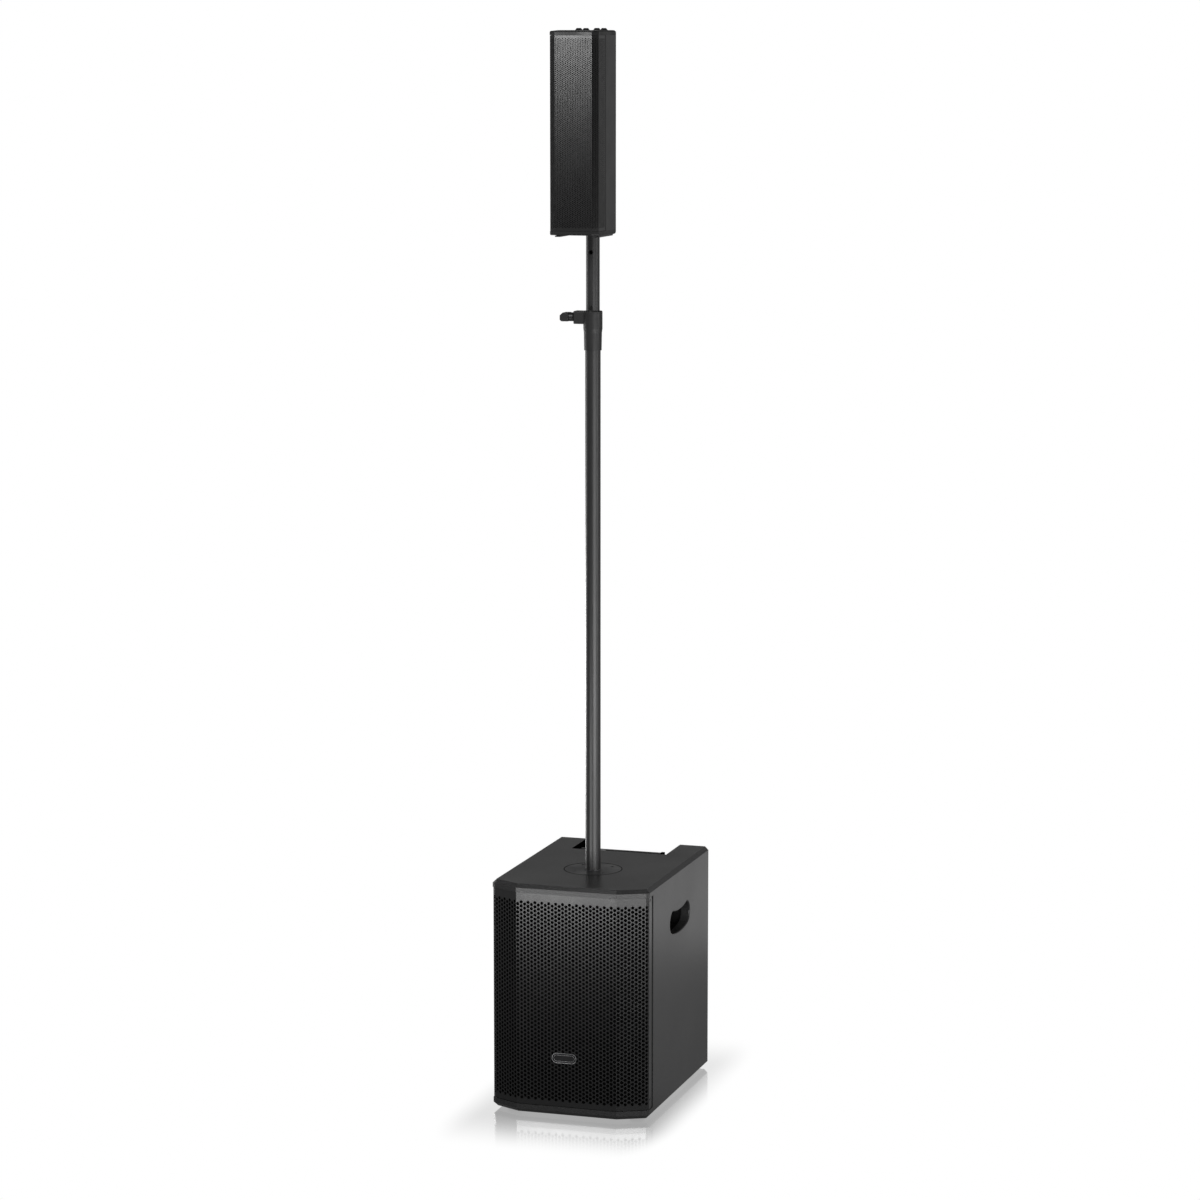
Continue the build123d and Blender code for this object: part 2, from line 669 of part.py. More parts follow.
# ---------------------------------------------------------------- pole
def lower_tube():
    wall_r = LOWER_TUBE_R - TUBE_WALL
    tube = rod_z(0, POLE_Y, LOWER_TUBE_R, SOCKET_FLOOR, LOWER_TUBE_TOP)
    return tube - rod_z(0, POLE_Y, wall_r, SOCKET_FLOOR - 1, LOWER_TUBE_TOP + 1)


def clamp_collar():
    """Moulded collar on the lower tube's end: tapered sleeve with a boxy boss for the clamp screw."""
    bore = UPPER_TUBE_R + 0.1
    sleeve = turned_z([(LOWER_TUBE_R, COLLAR_BOTTOM), (16.9, COLLAR_BOTTOM), (17.5, COLLAR_BOTTOM + 34),
                       (COLLAR_R, COLLAR_BOTTOM + 42), (COLLAR_R, COLLAR_TOP - 1.5),
                       (COLLAR_R - 1, COLLAR_TOP), (bore, COLLAR_TOP), (bore, LOWER_TUBE_TOP),
                       (LOWER_TUBE_R, LOWER_TUBE_TOP)], POLE_Y)
    boss = block(-BOSS_REACH, -12, POLE_Y - BOSS_HALF_W, POLE_Y + BOSS_HALF_W,
                 CLAMP_Z - 13, COLLAR_TOP - 0.5)
    long_edges = boss.edges().filter_by(Axis.X)
    end_edges = boss.edges().filter_by_position(Axis.X, -BOSS_REACH, -BOSS_REACH)
    boss = fillet(long_edges + end_edges, 1.8)
    boss -= rod_z(0, POLE_Y, bore, CLAMP_Z - 20, CLAMP_Z + 20)
    return sleeve + boss - rod_x(POLE_Y, CLAMP_Z, STUD_R + RUNNING_GAP, -40, -10)


def clamp_pad():
    """Soft-nosed pad that the screw presses on the upper tube."""
    return rod_x(POLE_Y, CLAMP_Z, STUD_R, -STUD_TIP, -UPPER_TUBE_R - 0.06)


def clamp_knob():
    """Bar-shaped grip along Y on a hub with two raised rings."""
    slant = [(-GRIP_REACH, 3.0), (-GRIP_REACH + 6, GRIP_HALF_H), (-HUB_REACH, GRIP_HALF_H),
             (-HUB_REACH, -GRIP_HALF_H), (-GRIP_REACH + 3, -GRIP_HALF_H), (-GRIP_REACH, -5.5)]
    points = [(x, POLE_Y - GRIP_HALF_W, CLAMP_Z + z) for x, z in slant]
    grip = extrude(make_face(Polyline(*points, close=True)), 2 * GRIP_HALF_W, dir=(0, 1, 0))
    grip = fillet(grip.edges(), 1.2)
    shape = grip + rod_x(POLE_Y, CLAMP_Z, HUB_R, -HUB_REACH - 1, -BOSS_REACH - 1.5)
    for x in HUB_RINGS:
        shape += rod_x(POLE_Y, CLAMP_Z, HUB_RING_R, -x - 1.0, -x + 1.0)
    return shape - rod_x(POLE_Y, CLAMP_Z, STUD_R, -STUD_REACH, -BOSS_REACH)


def clamp_screw():
    """Threaded stud fixed in the knob."""
    return rod_x(POLE_Y, CLAMP_Z, STUD_R, -STUD_REACH, -STUD_TIP)


def upper_tube():
    """Inner tube with the button's hole and a second locking hole in front."""
    wall_r = UPPER_TUBE_R - TUBE_WALL
    tube = rod_z(0, POLE_Y, UPPER_TUBE_R, UPPER_TUBE_BOTTOM, HEAD_SOCKET_TOP)
    tube -= rod_z(0, POLE_Y, wall_r, UPPER_TUBE_BOTTOM - 1, HEAD_SOCKET_TOP + 1)
    for z in (BUTTON_Z, BUTTON_Z + HOLE_PITCH):
        tube -= rod_y(0, z, BUTTON_R + RUNNING_GAP, POLE_Y - 20, POLE_Y)
    return tube


def snap_button():
    """Spring-loaded locking button, domed, with a flange inside the tube."""
    stem = rod_y(0, BUTTON_Z, BUTTON_R, POLE_Y - 16.2, POLE_Y - 8.6)
    tip = [edge for edge in stem.edges() if edge.center().Y < POLE_Y - 16]
    return fillet(tip, 1.6) + rod_y(0, BUTTON_Z, 5.4, POLE_Y - 10.1, POLE_Y - 8.6)


def button_spring():
    """Leaf spring folded into a V: one arm lies behind the button, the other on the far wall."""
    fold = BUTTON_Z - SPRING_REACH
    top = BUTTON_Z - 5.6
    outer = [(POLE_Y - 8.6, top), (POLE_Y - 8.6, top - 8), (POLE_Y + 1.2, fold),
             (POLE_Y + 10.2, top), (POLE_Y + 9.4, top), (POLE_Y + 1.2, fold + 4),
             (POLE_Y - 7.8, top - 8), (POLE_Y - 7.8, top)]
    return prism_x(outer, -3.5, 3.5)


def guide_bush():
    """Nylon plug in the upper tube's foot that runs in the lower tube."""
    inner = UPPER_TUBE_R - TUBE_WALL
    running = LOWER_TUBE_R - TUBE_WALL - RUNNING_GAP
    z = UPPER_TUBE_BOTTOM
    return turned_z([(BUSH_BORE_R, z - BUSH_LENGTH), (running, z - BUSH_LENGTH), (running, z), (inner, z),
                     (inner, z + BUSH_PLUG), (BUSH_BORE_R, z + BUSH_PLUG)], POLE_Y)


# ---------------------------------------------------------------- satellite head
def head_plan(inset=0.0):
    """Plan of the head: flat front, small front facets, straight sides and a tapered rear."""
    half = HEAD_W / 2
    corners = [
        (HEAD_CREASE_X, POLE_Y - HEAD_FRONT),
        (half, POLE_Y - HEAD_FRONT + HEAD_FACET_DEPTH),
        (half, POLE_Y - HEAD_TAPER),
        (HEAD_REAR_X, POLE_Y + HEAD_REAR),
    ]
    plan = outline(mirrored(corners))
    return offset(plan, -inset, kind=Kind.INTERSECTION) if inset else plan


def head_shell():
    """Extruded housing, open in front; its front part is set back under the wrapped grille."""
    z0, z1 = HEAD_BOTTOM + HEAD_CAP, HEAD_TOP - HEAD_CAP
    half = HEAD_W / 2
    rear = prism(head_plan(), z0, z1) & block(-FAR, FAR, HEAD_STEP_Y, FAR, z0, z1)
    front = prism(head_plan(2.2), z0, z1) & block(-FAR, FAR, POLE_Y - 114, HEAD_STEP_Y + 1, z0, z1)
    shell = rear + front - prism(head_plan(HEAD_WALL), z0 - 1, z1 + 1)
    mouth = block(-half + HEAD_WALL, half - HEAD_WALL, -FAR, HEAD_BAFFLE_Y, z0 - 1, z1 + 1)
    return shell - mouth - rod_y(0, HEAD_BOTTOM + CONNECTOR_LIFT, 14.2, POLE_Y + 20, POLE_Y + 40)


def head_cap(z0, z1, outer_z):
    """End cap on the head's plan with a rounded rim; its front part slopes a little inwards."""
    cap = prism(head_plan(), z0, z1)
    rim = cap.edges().filter_by_position(Axis.Z, outer_z - 0.01, outer_z + 0.01)
    cap = fillet(rim, HEAD_RIM_R)
    slope = 2.0 if outer_z > HEAD_MIDDLE else -2.0
    front = POLE_Y - HEAD_FRONT
    wedge = [(front - 1, outer_z + slope * 2), (front - 1, outer_z - slope), (front + 50, outer_z),
             (front + 50, outer_z + slope * 2)]
    return cap - prism_x(wedge, -HEAD_W, HEAD_W)


def head_top_cap():
    """Top cap with four tapered docking lugs."""
    cap = head_cap(HEAD_TOP - HEAD_CAP, HEAD_TOP, HEAD_TOP)
    for x in (-18, 18):
        for y in (POLE_Y - 30.8, POLE_Y + 13.6):
            base = Pos(x, y, HEAD_TOP - 0.2) * Rectangle(12, 12)
            tip = Pos(x, y, HEAD_TOP + LUG_H) * Rectangle(6.5, 6.5)
            cap += loft([Sketch() + base, Sketch() + tip])
    return cap


def head_bottom_cap():
    cap = head_cap(HEAD_BOTTOM, HEAD_BOTTOM + HEAD_CAP, HEAD_BOTTOM)
    return cap - rod_z(0, POLE_Y, HEAD_SOCKET_R + 0.1, HEAD_BOTTOM - 1, HEAD_BOTTOM + HEAD_CAP + 1)


def head_grille():
    """Perforated sheet over the head's front, wrapped back along both sides."""
    z0, z1 = HEAD_BOTTOM + HEAD_CAP + 0.4, HEAD_TOP - HEAD_CAP - 0.4
    face = head_plan(HEAD_GRILLE_GAP) - head_plan(HEAD_GRILLE_GAP + HEAD_GRILLE_T)
    return prism(face, z0, z1) & block(-FAR, FAR, -FAR, HEAD_STEP_Y - 0.8, z0, z1)


def driver_heights():
    middle = (DRIVER_COUNT - 1) / 2
    return [HEAD_MIDDLE + (index - middle) * DRIVER_PITCH for index in range(DRIVER_COUNT)]


def head_baffle():
    half = HEAD_W / 2 - HEAD_WALL
    z0, z1 = HEAD_BOTTOM + HEAD_CAP, HEAD_TOP - HEAD_CAP
    plate = block(-half, half, HEAD_BAFFLE_Y, HEAD_BAFFLE_Y + 6, z0, z1)
    for z in driver_heights():
        plate -= rod_y(0, z, 28.6, HEAD_BAFFLE_Y - 1, HEAD_BAFFLE_Y + 7)
    return plate


def driver_frame(z):
    """Small driver's pressed frame with its rim on the baffle."""
    f = HEAD_BAFFLE_Y
    return turned([(27, f - 2.5), (DRIVER_R, f - 2.5), (DRIVER_R, f), (28.4, f), (28.4, f + 8),
                   (20, f + 20), (15, f + 20), (15, f + 18.4), (19, f + 18.4), (27, f + 7)], z)


def driver_magnet(z):
    """Cup magnet with a round gap for the coil former."""
    f = HEAD_BAFFLE_Y + 20
    return turned([(0, f + 16), (0, f + 1), (9.2, f + 1), (9.2, f + 12), (11.8, f + 12), (11.8, f),
                   (21, f), (21, f + 16)], z)


def driver_cone(z):
    """Small cone with its domed cap and coil former."""
    f = HEAD_BAFFLE_Y
    return turned([(0, f + 4.2), (5, f + 4.9), (9.4, f + 7.2), (11, f + 9.4), (25.4, f - 1),
                   (26.2, f - 1), (26.2, f), (11.3, f + 11.6), (11.3, f + 26), (10.1, f + 26),
                   (10.1, f + 9.4), (8.8, f + 8), (4.6, f + 6), (0, f + 5.3)], z)


def head_socket():
    """Sleeve fixed in the head that turns on the upper tube."""
    bore = UPPER_TUBE_R + RUNNING_GAP
    low = HEAD_BOTTOM - 1.5
    seat = HEAD_SOCKET_TOP + RUNNING_GAP
    top = HEAD_SOCKET_TOP + 5
    return turned_z([(bore, low), (HEAD_SOCKET_R, low), (HEAD_SOCKET_R, top), (0, top), (0, seat),
                     (bore, seat)], POLE_Y)


def head_connector():
    """Twist-lock input on the head's rear: flange, shell, open ring and middle pin."""
    rear = POLE_Y + HEAD_REAR
    z = HEAD_BOTTOM + CONNECTOR_LIFT
    floor = rear - 7
    shell = rod_y(0, z, LINK_R, rear - 8.5, rear) + block(-15, 15, rear, rear + 1.8, z - 16, z + 16)
    return [shell - rod_y(0, z, RING_R, floor, rear + 3), rod_y(0, z, PIN_R, floor, rear)]


def mount_rail():
    """Pair of docking rails under the head."""
    y0, y1 = POLE_Y - 100, POLE_Y - 12
    return [block(side * 34, side * 44, y0, y1, HEAD_BOTTOM - 2.4, HEAD_BOTTOM) for side in (-1, 1)]


# ---------------------------------------------------------------- every node by name
def cabinet_nodes():
    return {
        "top_panel": top_panel(),
        "bottom_panel": bottom_panel(),
        "left_side_panel": side_panel(-1),
        "right_side_panel": side_panel(1),
        "front_baffle": front_baffle(),
        "rear_panel": rear_panel(),
        "left_handle_cup": handle_cup(-1),
        "right_handle_cup": handle_cup(1),
        "rubber_feet": rubber_feet(),
        "pole_socket": pole_socket(),
        "socket_screws": socket_screws(),
        "sub_grille": sub_grille(),
        "grille_foam": grille_foam(),
        "grille_screws": grille_screws(),
        "badge": badge(),
        "woofer_basket": woofer_basket(),
        "woofer_magnet": woofer_magnet(),
        "woofer_surround": woofer_surround(),
        "woofer_cone": woofer_cone(),
        "woofer_dust_cap": woofer_dust_cap(),
        "woofer_coil": woofer_coil(),
        "port_tube": port_tube(),
        "damping_pad": damping_pad(),
    }


def electronics_nodes():
    nodes = {
        "control_panel": control_panel(),
        "panel_hood": panel_hood(),
        "pair_button": on_slope(PAIR_X, pair_button()),
        "amp_plate": amp_plate(),
        "heatsink": heatsink(),
        "amp_board": amp_board(),
        "input_jacks": [input_jack(x) for x in INPUT_X],
        "link_sockets": [piece for x in LINK_X for piece in link_socket(x)],
        "power_inlet": power_inlet(),
        "power_switch": power_switch(),
        "panel_screws": panel_screws(),
    }
    for name, x in KNOB_PLACES.items():
        nodes[name] = on_slope(x, knob())
    return nodes


def pole_nodes():
    return {
        "lower_tube": lower_tube(),
        "clamp_collar": clamp_collar(),
        "clamp_pad": clamp_pad(),
        "clamp_knob": clamp_knob(),
        "clamp_screw": clamp_screw(),
        "upper_tube": upper_tube(),
        "snap_button": snap_button(),
        "button_spring": button_spring(),
        "guide_bush": guide_bush(),
    }


def head_nodes():
    nodes = {
        "head_shell": head_shell(),
        "head_top_cap": head_top_cap(),
        "head_bottom_cap": head_bottom_cap(),
        "head_grille": head_grille(),
        "head_baffle": head_baffle(),
        "driver_frames": [driver_frame(z) for z in driver_heights()],
        "driver_magnets": [driver_magnet(z) for z in driver_heights()],
        "head_socket": head_socket(),
        "head_connector": head_connector(),
        "mount_rail": mount_rail(),
    }
    for index, z in enumerate(driver_heights()):
        nodes[f"driver_cone_{index + 1}"] = driver_cone(z)
    return nodes


def write_nodes():
    """Write one STEP file per node."""
    os.makedirs("parts", exist_ok=True)
    nodes = cabinet_nodes() | electronics_nodes() | pole_nodes() | head_nodes()
    for name, shape in nodes.items():
        whole = Compound(children=shape) if isinstance(shape, list) else shape
        export_step(whole, f"parts/{name}.step")
    print(len(nodes), "nodes")


write_nodes()
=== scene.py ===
import json
import math

import bmesh
import bpy
from mathutils import Matrix, Vector


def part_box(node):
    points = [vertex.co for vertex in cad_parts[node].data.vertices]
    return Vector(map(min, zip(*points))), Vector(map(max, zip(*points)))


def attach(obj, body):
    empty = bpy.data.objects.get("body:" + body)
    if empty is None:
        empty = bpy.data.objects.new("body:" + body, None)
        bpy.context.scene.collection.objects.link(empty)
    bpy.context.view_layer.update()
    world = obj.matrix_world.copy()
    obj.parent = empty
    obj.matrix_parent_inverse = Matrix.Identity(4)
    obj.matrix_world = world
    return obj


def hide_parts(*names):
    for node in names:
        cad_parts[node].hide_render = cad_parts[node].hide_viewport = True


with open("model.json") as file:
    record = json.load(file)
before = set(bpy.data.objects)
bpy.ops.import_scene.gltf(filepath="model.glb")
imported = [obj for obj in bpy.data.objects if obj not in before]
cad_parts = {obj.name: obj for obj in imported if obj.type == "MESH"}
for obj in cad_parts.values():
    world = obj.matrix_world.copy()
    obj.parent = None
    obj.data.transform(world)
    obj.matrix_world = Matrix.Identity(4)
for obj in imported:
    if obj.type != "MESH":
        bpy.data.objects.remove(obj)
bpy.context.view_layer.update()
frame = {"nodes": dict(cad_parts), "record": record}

# Column PA speaker: active subwoofer, telescopic pole and satellite head, in metres.

nodes = frame["nodes"]
MOUNTS = {mount["name"]: Vector(mount["pos_m"]) for mount in frame["record"]["mounts"]}
JOINTS = {joint["name"]: joint for joint in frame["record"]["behaviour"]["joints"]}

# ---------------------------------------------------------------- sizes shared with the CAD model
CREASE_X = 0.102
FACET_DEPTH = 0.0258
CORNER_CHAMFER = 0.0054
GRILLE_GAP = 0.0012
GRILLE_T = 0.0015
NOTCH_HALF_W = 0.100
NOTCH_DEPTH = 0.100
HEAD_CREASE_X = 0.0368
HEAD_FACET_DEPTH = 0.0070
HEAD_GRILLE_GAP = 0.0004
HEAD_GRILLE_T = 0.0012

# ---------------------------------------------------------------- sizes of the visual details
SUB_HOLE_R = 0.00325
SUB_HOLE_SIDES = 12
SUB_COLUMNS = 29
HEAD_HOLE_R = 0.00125
HEAD_HOLE_SIDES = 6
HEAD_PITCH = 0.0038
STAGGER = math.cos(math.radians(30))   # column pitch over row pitch of a staggered hole pattern
SUB_BORDERS = (0.008, 0.014, 0.0165)   # plain borders of a grille: bottom, top, each end
SUB_CORNER_R = 0.008
SCREW_CLEARANCE = 0.0002
SCREW_HOLE_SIDES = 24
HEAD_BORDERS = (0.004, 0.0035, 0.004)
CLOTH_GAP = 0.0001
CLOTH_T = 0.0004
BADGE_LINES = ((0.0, 0.0010), (0.0038, 0.0006))   # inset and width of each bright line
BADGE_LINE_T = 0.00002
BADGE_FLAT = 0.0001                    # straight part left between two round corners
SOCKET_GAP_SHADE = (0.0004, 0.0011)          # black ring painted as the shade of the flange's recess: inside and outside its rim
SOCKET_GAP_SHADE_T = 0.00015
SOCKET_LIP = (0.0003, 0.0022)          # bright lip: from and to, outside the pole
SOCKET_LIP_T = 0.0006
RING_SIDES = 72
# black sheets that paint the shade on the notch's walls: thickness, and gaps to the top, foot and rear
SHADE_SHEET_T = 0.0006
SHADE_SHEET_TOP_GAP = 0.0008
SHADE_SHEET_FOOT_GAP = 0.0005
SHADE_SHEET_REAR_GAP = 0.001
HOOD_GAP_SHADE = (0.0002, 0.0070)            # black strip painted as the shade beside the hood: from and to, off its end
HOOD_STRIP_SETBACK = 0.002
HOOD_STRIP_DROP = 0.0002
LATCH_X = -0.034
LATCH_R = (0.0056, 0.0052)
LATCH_SIDES = 40
LATCH_T = 0.006
LATCH_DROP = 0.0035
# turned part on the clamp knob's neck: its middle's distance from the inner end, length, radius, finish
CLAMP_TURNINGS = {
    "clamp_sleeve": (0.0052, 0.0085, 0.0086, "plastic"),
    # groove painted black as its shade
    "clamp_groove_shade": (0.0103, 0.0022, 0.0080, "foam"),
}
PRINT_T = 0.0002
PRINT_LINE = 0.0008
PRINT_CORNER_R = 0.004
SOCKET_FRAME = (0.055, 0.023)          # half width and half height of a printed frame
POWER_FRAME = (0.0245, 0.046)
SINK_MARGIN = 0.004
TICK_HALF_W = 0.008
TICK_RISE = (0.0185, 0.0195)
SOCKET_RING_R = {"mic_input": 0.0085, "line_input": 0.0085, "link_output_1": 0.011, "link_output_2": 0.011}
SOCKET_RING_DEPTH = 0.0015
SOCKET_RING_T = 0.0008
TRIM_SIDES = 48
TRIM_BORE = 0.9                        # a nickel ring's inner over its outer radius
KNOB_JOINTS = {"mic_knob": "mic_level", "line_knob": "line_level", "bass_knob": "bass_level"}
SCALE_TICKS = 11
SCALE_START = -150                     # degrees
SCALE_STEP = 30
SCALE_R = 0.0125
SCALE_TICK = (0.0007, 0.0022, 0.0002)
KNOB_RIBS = 18
RIB_R = 0.0063
RIB = (0.0011, 0.0011, 0.0105)
RIB_MIDDLE_Z = 0.009
CAP_R = (0.0046, 0.0044)
CAP_T = 0.0005
CAP_Z = 0.01585
POINTER = (0.0009, 0.0040, 0.0002)
POINTER_SPOT = (0, 0.0024, 0.01615)
LAMPS_FROM_BASS = 0.040
LAMP_R = 0.0016
LAMP_PITCH = 0.008
LAMP_RISE = 0.014

# ---------------------------------------------------------------- studio
WORLD_RING = 0.38
WORLD_TOP = 0.05
WORLD_FRONT = 0.35
RING_EDGES = (0.17, 0.40)              # upward part of a direction over which the ring fades
FRONT_EDGES = (-0.7, 0.2)              # rearward part over which the front's shade ends
FLOOR_HALF = 40.0
FLOOR_DARK = 0.03
FLOOR_LIT = 0.26
DARK_FLOOR = (0.2, -0.9)
DARK_EDGES = (0.45, 1.0)               # distance from DARK_FLOOR over which the floor's glow rises
DARK_SQUEEZE = 0.5
FLOOR_MIRROR = 1.82
MIRROR_ROUGHNESS = 0.10
FLOOR_NEAR = 0.35
FLOOR_FADE = 0.24
SIDE_STRETCH = 3.0
CAMERA_SPOT = (2.20939, -7.00288, 2.08265)
CAMERA_DROP = 8.468                    # degrees below the horizon
CAMERA_TURN = 17.515                   # degrees to the left of +Y
CAMERA_LENS = 113.41
CAMERA_SENSOR = 36.0
# light card: centre, point that it faces, width and height, a quarter of its power per area
CARDS = {
    "sub_front_card": ((-0.27, -1.08, 0.385), (0.0, -0.22, 0.385), (0.39, 0.35), 7.4),
    "head_front_card": ((-0.27, -1.03, 2.22), (0.0, -0.17, 2.22), (0.24, 0.40), 27.0),
    "pole_low_card": ((0.88, -1.00, 0.48), (0.0, -0.05, 0.48), (1.0, 0.55), 6.0),
    "pole_high_card": ((0.88, -1.00, 1.20), (0.0, -0.05, 1.20), (1.0, 0.60), 2.3),
    "side_card": ((0.62, 1.05, 0.16), (0.16, 0.0, 0.16), (0.9, 0.30), 0.38),
    "head_side_card": ((0.62, 1.05, 1.95), (0.05, 0.0, 1.95), (0.9, 0.6), 0.07),
    "right_card": ((2.6, -0.1, 1.0), (0.0, 0.0, 0.9), (0.8, 2.0), 2.0),
    "left_card": ((-2.6, 0.5, 1.0), (0.0, 0.0, 0.9), (0.8, 2.0), 2.0),
    "left_rear_card": ((-2.0, 1.7, 0.40), (0.0, 0.0, 0.3), (1.6, 0.7), 7.0),
    "left_rear_high_card": ((-2.4, 1.0, 1.95), (0.0, 0.0, 1.9), (0.8, 0.8), 1.5),
}


# ---------------------------------------------------------------- materials
GRAIN_SPREAD = (0.3, 0.7)              # the part of a noise texture's range that changes the finish
BROAD_GRAIN = 60                       # size of the uneven roughness over that of the grain


def new_material(name, colour, roughness, metallic=0.0, specular=0.5):
    """Principled material with its nodes at hand."""
    material = bpy.data.materials.new(name)
    material.use_nodes = True
    shader = material.node_tree.nodes["Principled BSDF"]
    shader.inputs["Base Color"].default_value = (*colour, 1.0)
    shader.inputs["Roughness"].default_value = roughness
    shader.inputs["Metallic"].default_value = metallic
    shader.inputs["Specular IOR Level"].default_value = specular
    return material


def node(material, kind, **settings):
    """Add a shader node; settings give values to its inputs."""
    made = material.node_tree.nodes.new(kind)
    for key, value in settings.items():
        made.inputs[key.title()].default_value = value
    return made


def link(material, source, output, target, entry):
    """Join one node's output to another's input."""
    material.node_tree.links.new(source.outputs[output], target.inputs[entry])


def grain(material, scale, depth, tint=0.25, rough_spread=0.08, detail=3.0, stretch=(1, 1, 1)):
    """Fine procedural grain: bump, a slight colour mottle and uneven roughness."""
    shader = material.node_tree.nodes["Principled BSDF"]
    place = node(material, "ShaderNodeTexCoord")
    mapping = node(material, "ShaderNodeMapping")
    mapping.inputs["Scale"].default_value = stretch
    fine = node(material, "ShaderNodeTexNoise", scale=scale, detail=detail, roughness=0.6)
    broad = node(material, "ShaderNodeTexNoise", scale=scale / BROAD_GRAIN, detail=2.0, roughness=0.5)
    link(material, place, "Object", mapping, "Vector")
    for texture in (fine, broad):
        link(material, mapping, "Vector", texture, "Vector")

    bump = node(material, "ShaderNodeBump", strength=1.0, distance=depth)
    link(material, fine, "Fac", bump, "Height")
    link(material, bump, "Normal", shader, "Normal")

    colour = Vector(shader.inputs["Base Color"].default_value[:3])
    ramp = node(material, "ShaderNodeValToRGB")
    ramp.color_ramp.elements[0].position = GRAIN_SPREAD[0]
    ramp.color_ramp.elements[0].color = (*(colour * (1 - tint)), 1)
    ramp.color_ramp.elements[1].position = GRAIN_SPREAD[1]
    ramp.color_ramp.elements[1].color = (*(colour * (1 + tint)), 1)
    link(material, fine, "Fac", ramp, "Fac")
    link(material, ramp, "Color", shader, "Base Color")

    spread = node(material, "ShaderNodeMapRange")
    middle = shader.inputs["Roughness"].default_value
    spread.inputs["From Min"].default_value = GRAIN_SPREAD[0]
    spread.inputs["From Max"].default_value = GRAIN_SPREAD[1]
    spread.inputs["To Min"].default_value = max(0.02, middle - rough_spread)
    spread.inputs["To Max"].default_value = min(1.0, middle + rough_spread)
    link(material, broad, "Fac", spread, "Value")
    link(material, spread, "Result", shader, "Roughness")
    return material


def make_materials():
    """Every finish on the speaker, by name."""
    made = {}
    made["paint"] = grain(new_material("textured_paint", (0.019, 0.019, 0.0193), 0.34, specular=0.38),
                          430, 0.00018, tint=0.4, rough_spread=0.02)
    made["baffle"] = grain(new_material("baffle_paint", (0.012, 0.012, 0.012), 0.8, specular=0.2),
                           700, 0.0002)
    made["grille"] = grain(new_material("grille_powder_coat", (0.010, 0.010, 0.0102), 0.29, specular=0.48),
                           1600, 0.00003, tint=0.15, rough_spread=0.02)
    made["head_grille"] = grain(new_material("head_grille_coat", (0.009, 0.009, 0.0092), 0.33, specular=0.26),
                                1800, 0.00003, tint=0.15, rough_spread=0.02)
    made["metal"] = grain(new_material("black_sheet_metal", (0.034, 0.034, 0.035), 0.45), 1200, 0.00004)
    made["pole"] = grain(new_material("pole_gloss_coat", (0.014, 0.014, 0.0143), 0.38, specular=0.52),
                         500, 0.000004, tint=0.1, rough_spread=0.03)
    made["anodised"] = grain(new_material("black_anodised", (0.030, 0.030, 0.031), 0.38, specular=0.5),
                             900, 0.00003)
    made["plastic"] = grain(new_material("moulded_plastic", (0.014, 0.014, 0.0143), 0.42, specular=0.40),
                            1500, 0.00004, tint=0.2, rough_spread=0.03)
    made["shell"] = grain(new_material("head_shell_plastic", (0.015, 0.015, 0.0153), 0.42, specular=0.34),
                          1300, 0.00005, tint=0.25, rough_spread=0.02)
    made["control"] = grain(new_material("control_plastic", (0.036, 0.036, 0.036), 0.4), 1800, 0.00005)
    made["rubber"] = grain(new_material("rubber", (0.012, 0.012, 0.012), 0.75, specular=0.3), 1200, 0.0001)
    # near-black finish of the real foam; the same finish also paints shade on the socket ring, the notch
    # sheets and the clamp groove
    made["foam"] = grain(new_material("open_cell_foam_and_painted_shade", (0.0015, 0.0015, 0.0015), 1.0, specular=0.0),
                         600, 0.0008, tint=0.6)
    made["paper"] = grain(new_material("coated_cone_paper", (0.010, 0.010, 0.010), 0.7, specular=0.3),
                          500, 0.0002, tint=0.4, stretch=(1, 1, 2))
    made["steel"] = grain(new_material("blackened_steel", (0.10, 0.10, 0.105), 0.35, metallic=0.9),
                          900, 0.00003)
    made["ferrite"] = grain(new_material("ferrite", (0.06, 0.06, 0.062), 0.6), 500, 0.0001)
    made["copper"] = grain(new_material("enamelled_copper", (0.55, 0.20, 0.07), 0.3, metallic=1.0),
                           3000, 0.0001, stretch=(1, 6, 1))
    made["board"] = grain(new_material("circuit_board", (0.010, 0.06, 0.025), 0.35), 400, 0.00005)
    made["brushed"] = grain(new_material("brushed_aluminium", (0.55, 0.55, 0.56), 0.32, metallic=1.0),
                            600, 0.00002, tint=0.12, stretch=(1, 1, 14))
    made["badge"] = grain(new_material("badge_lacquer", (0.012, 0.012, 0.0125), 0.22), 900, 0.00001)
    made["print"] = grain(new_material("panel_print", (0.62, 0.62, 0.60), 0.6), 900, 0.00002, tint=0.05)
    made["contact"] = grain(new_material("nickel_contact", (0.6, 0.58, 0.52), 0.25, metallic=1.0),
                            900, 0.00002, tint=0.08)
    made["cap"] = grain(new_material("head_cap_plastic", (0.013, 0.013, 0.0133), 0.42, specular=0.17),
                        1500, 0.00004)
    made["dark"] = grain(new_material("dark_plastic", (0.004, 0.004, 0.004), 0.5, specular=0.2), 900, 0.00002)
    made["worn"] = grain(new_material("worn_lip", (0.09, 0.09, 0.092), 0.4, metallic=0.6), 900, 0.00002)
    made["lamp_red"] = grain(new_material("red_lens", (0.35, 0.02, 0.015), 0.2), 900, 0.00001)
    made["lamp"] = grain(new_material("indicator_lens", (0.02, 0.28, 0.09), 0.2), 900, 0.00001)
    return made


looks = make_materials()

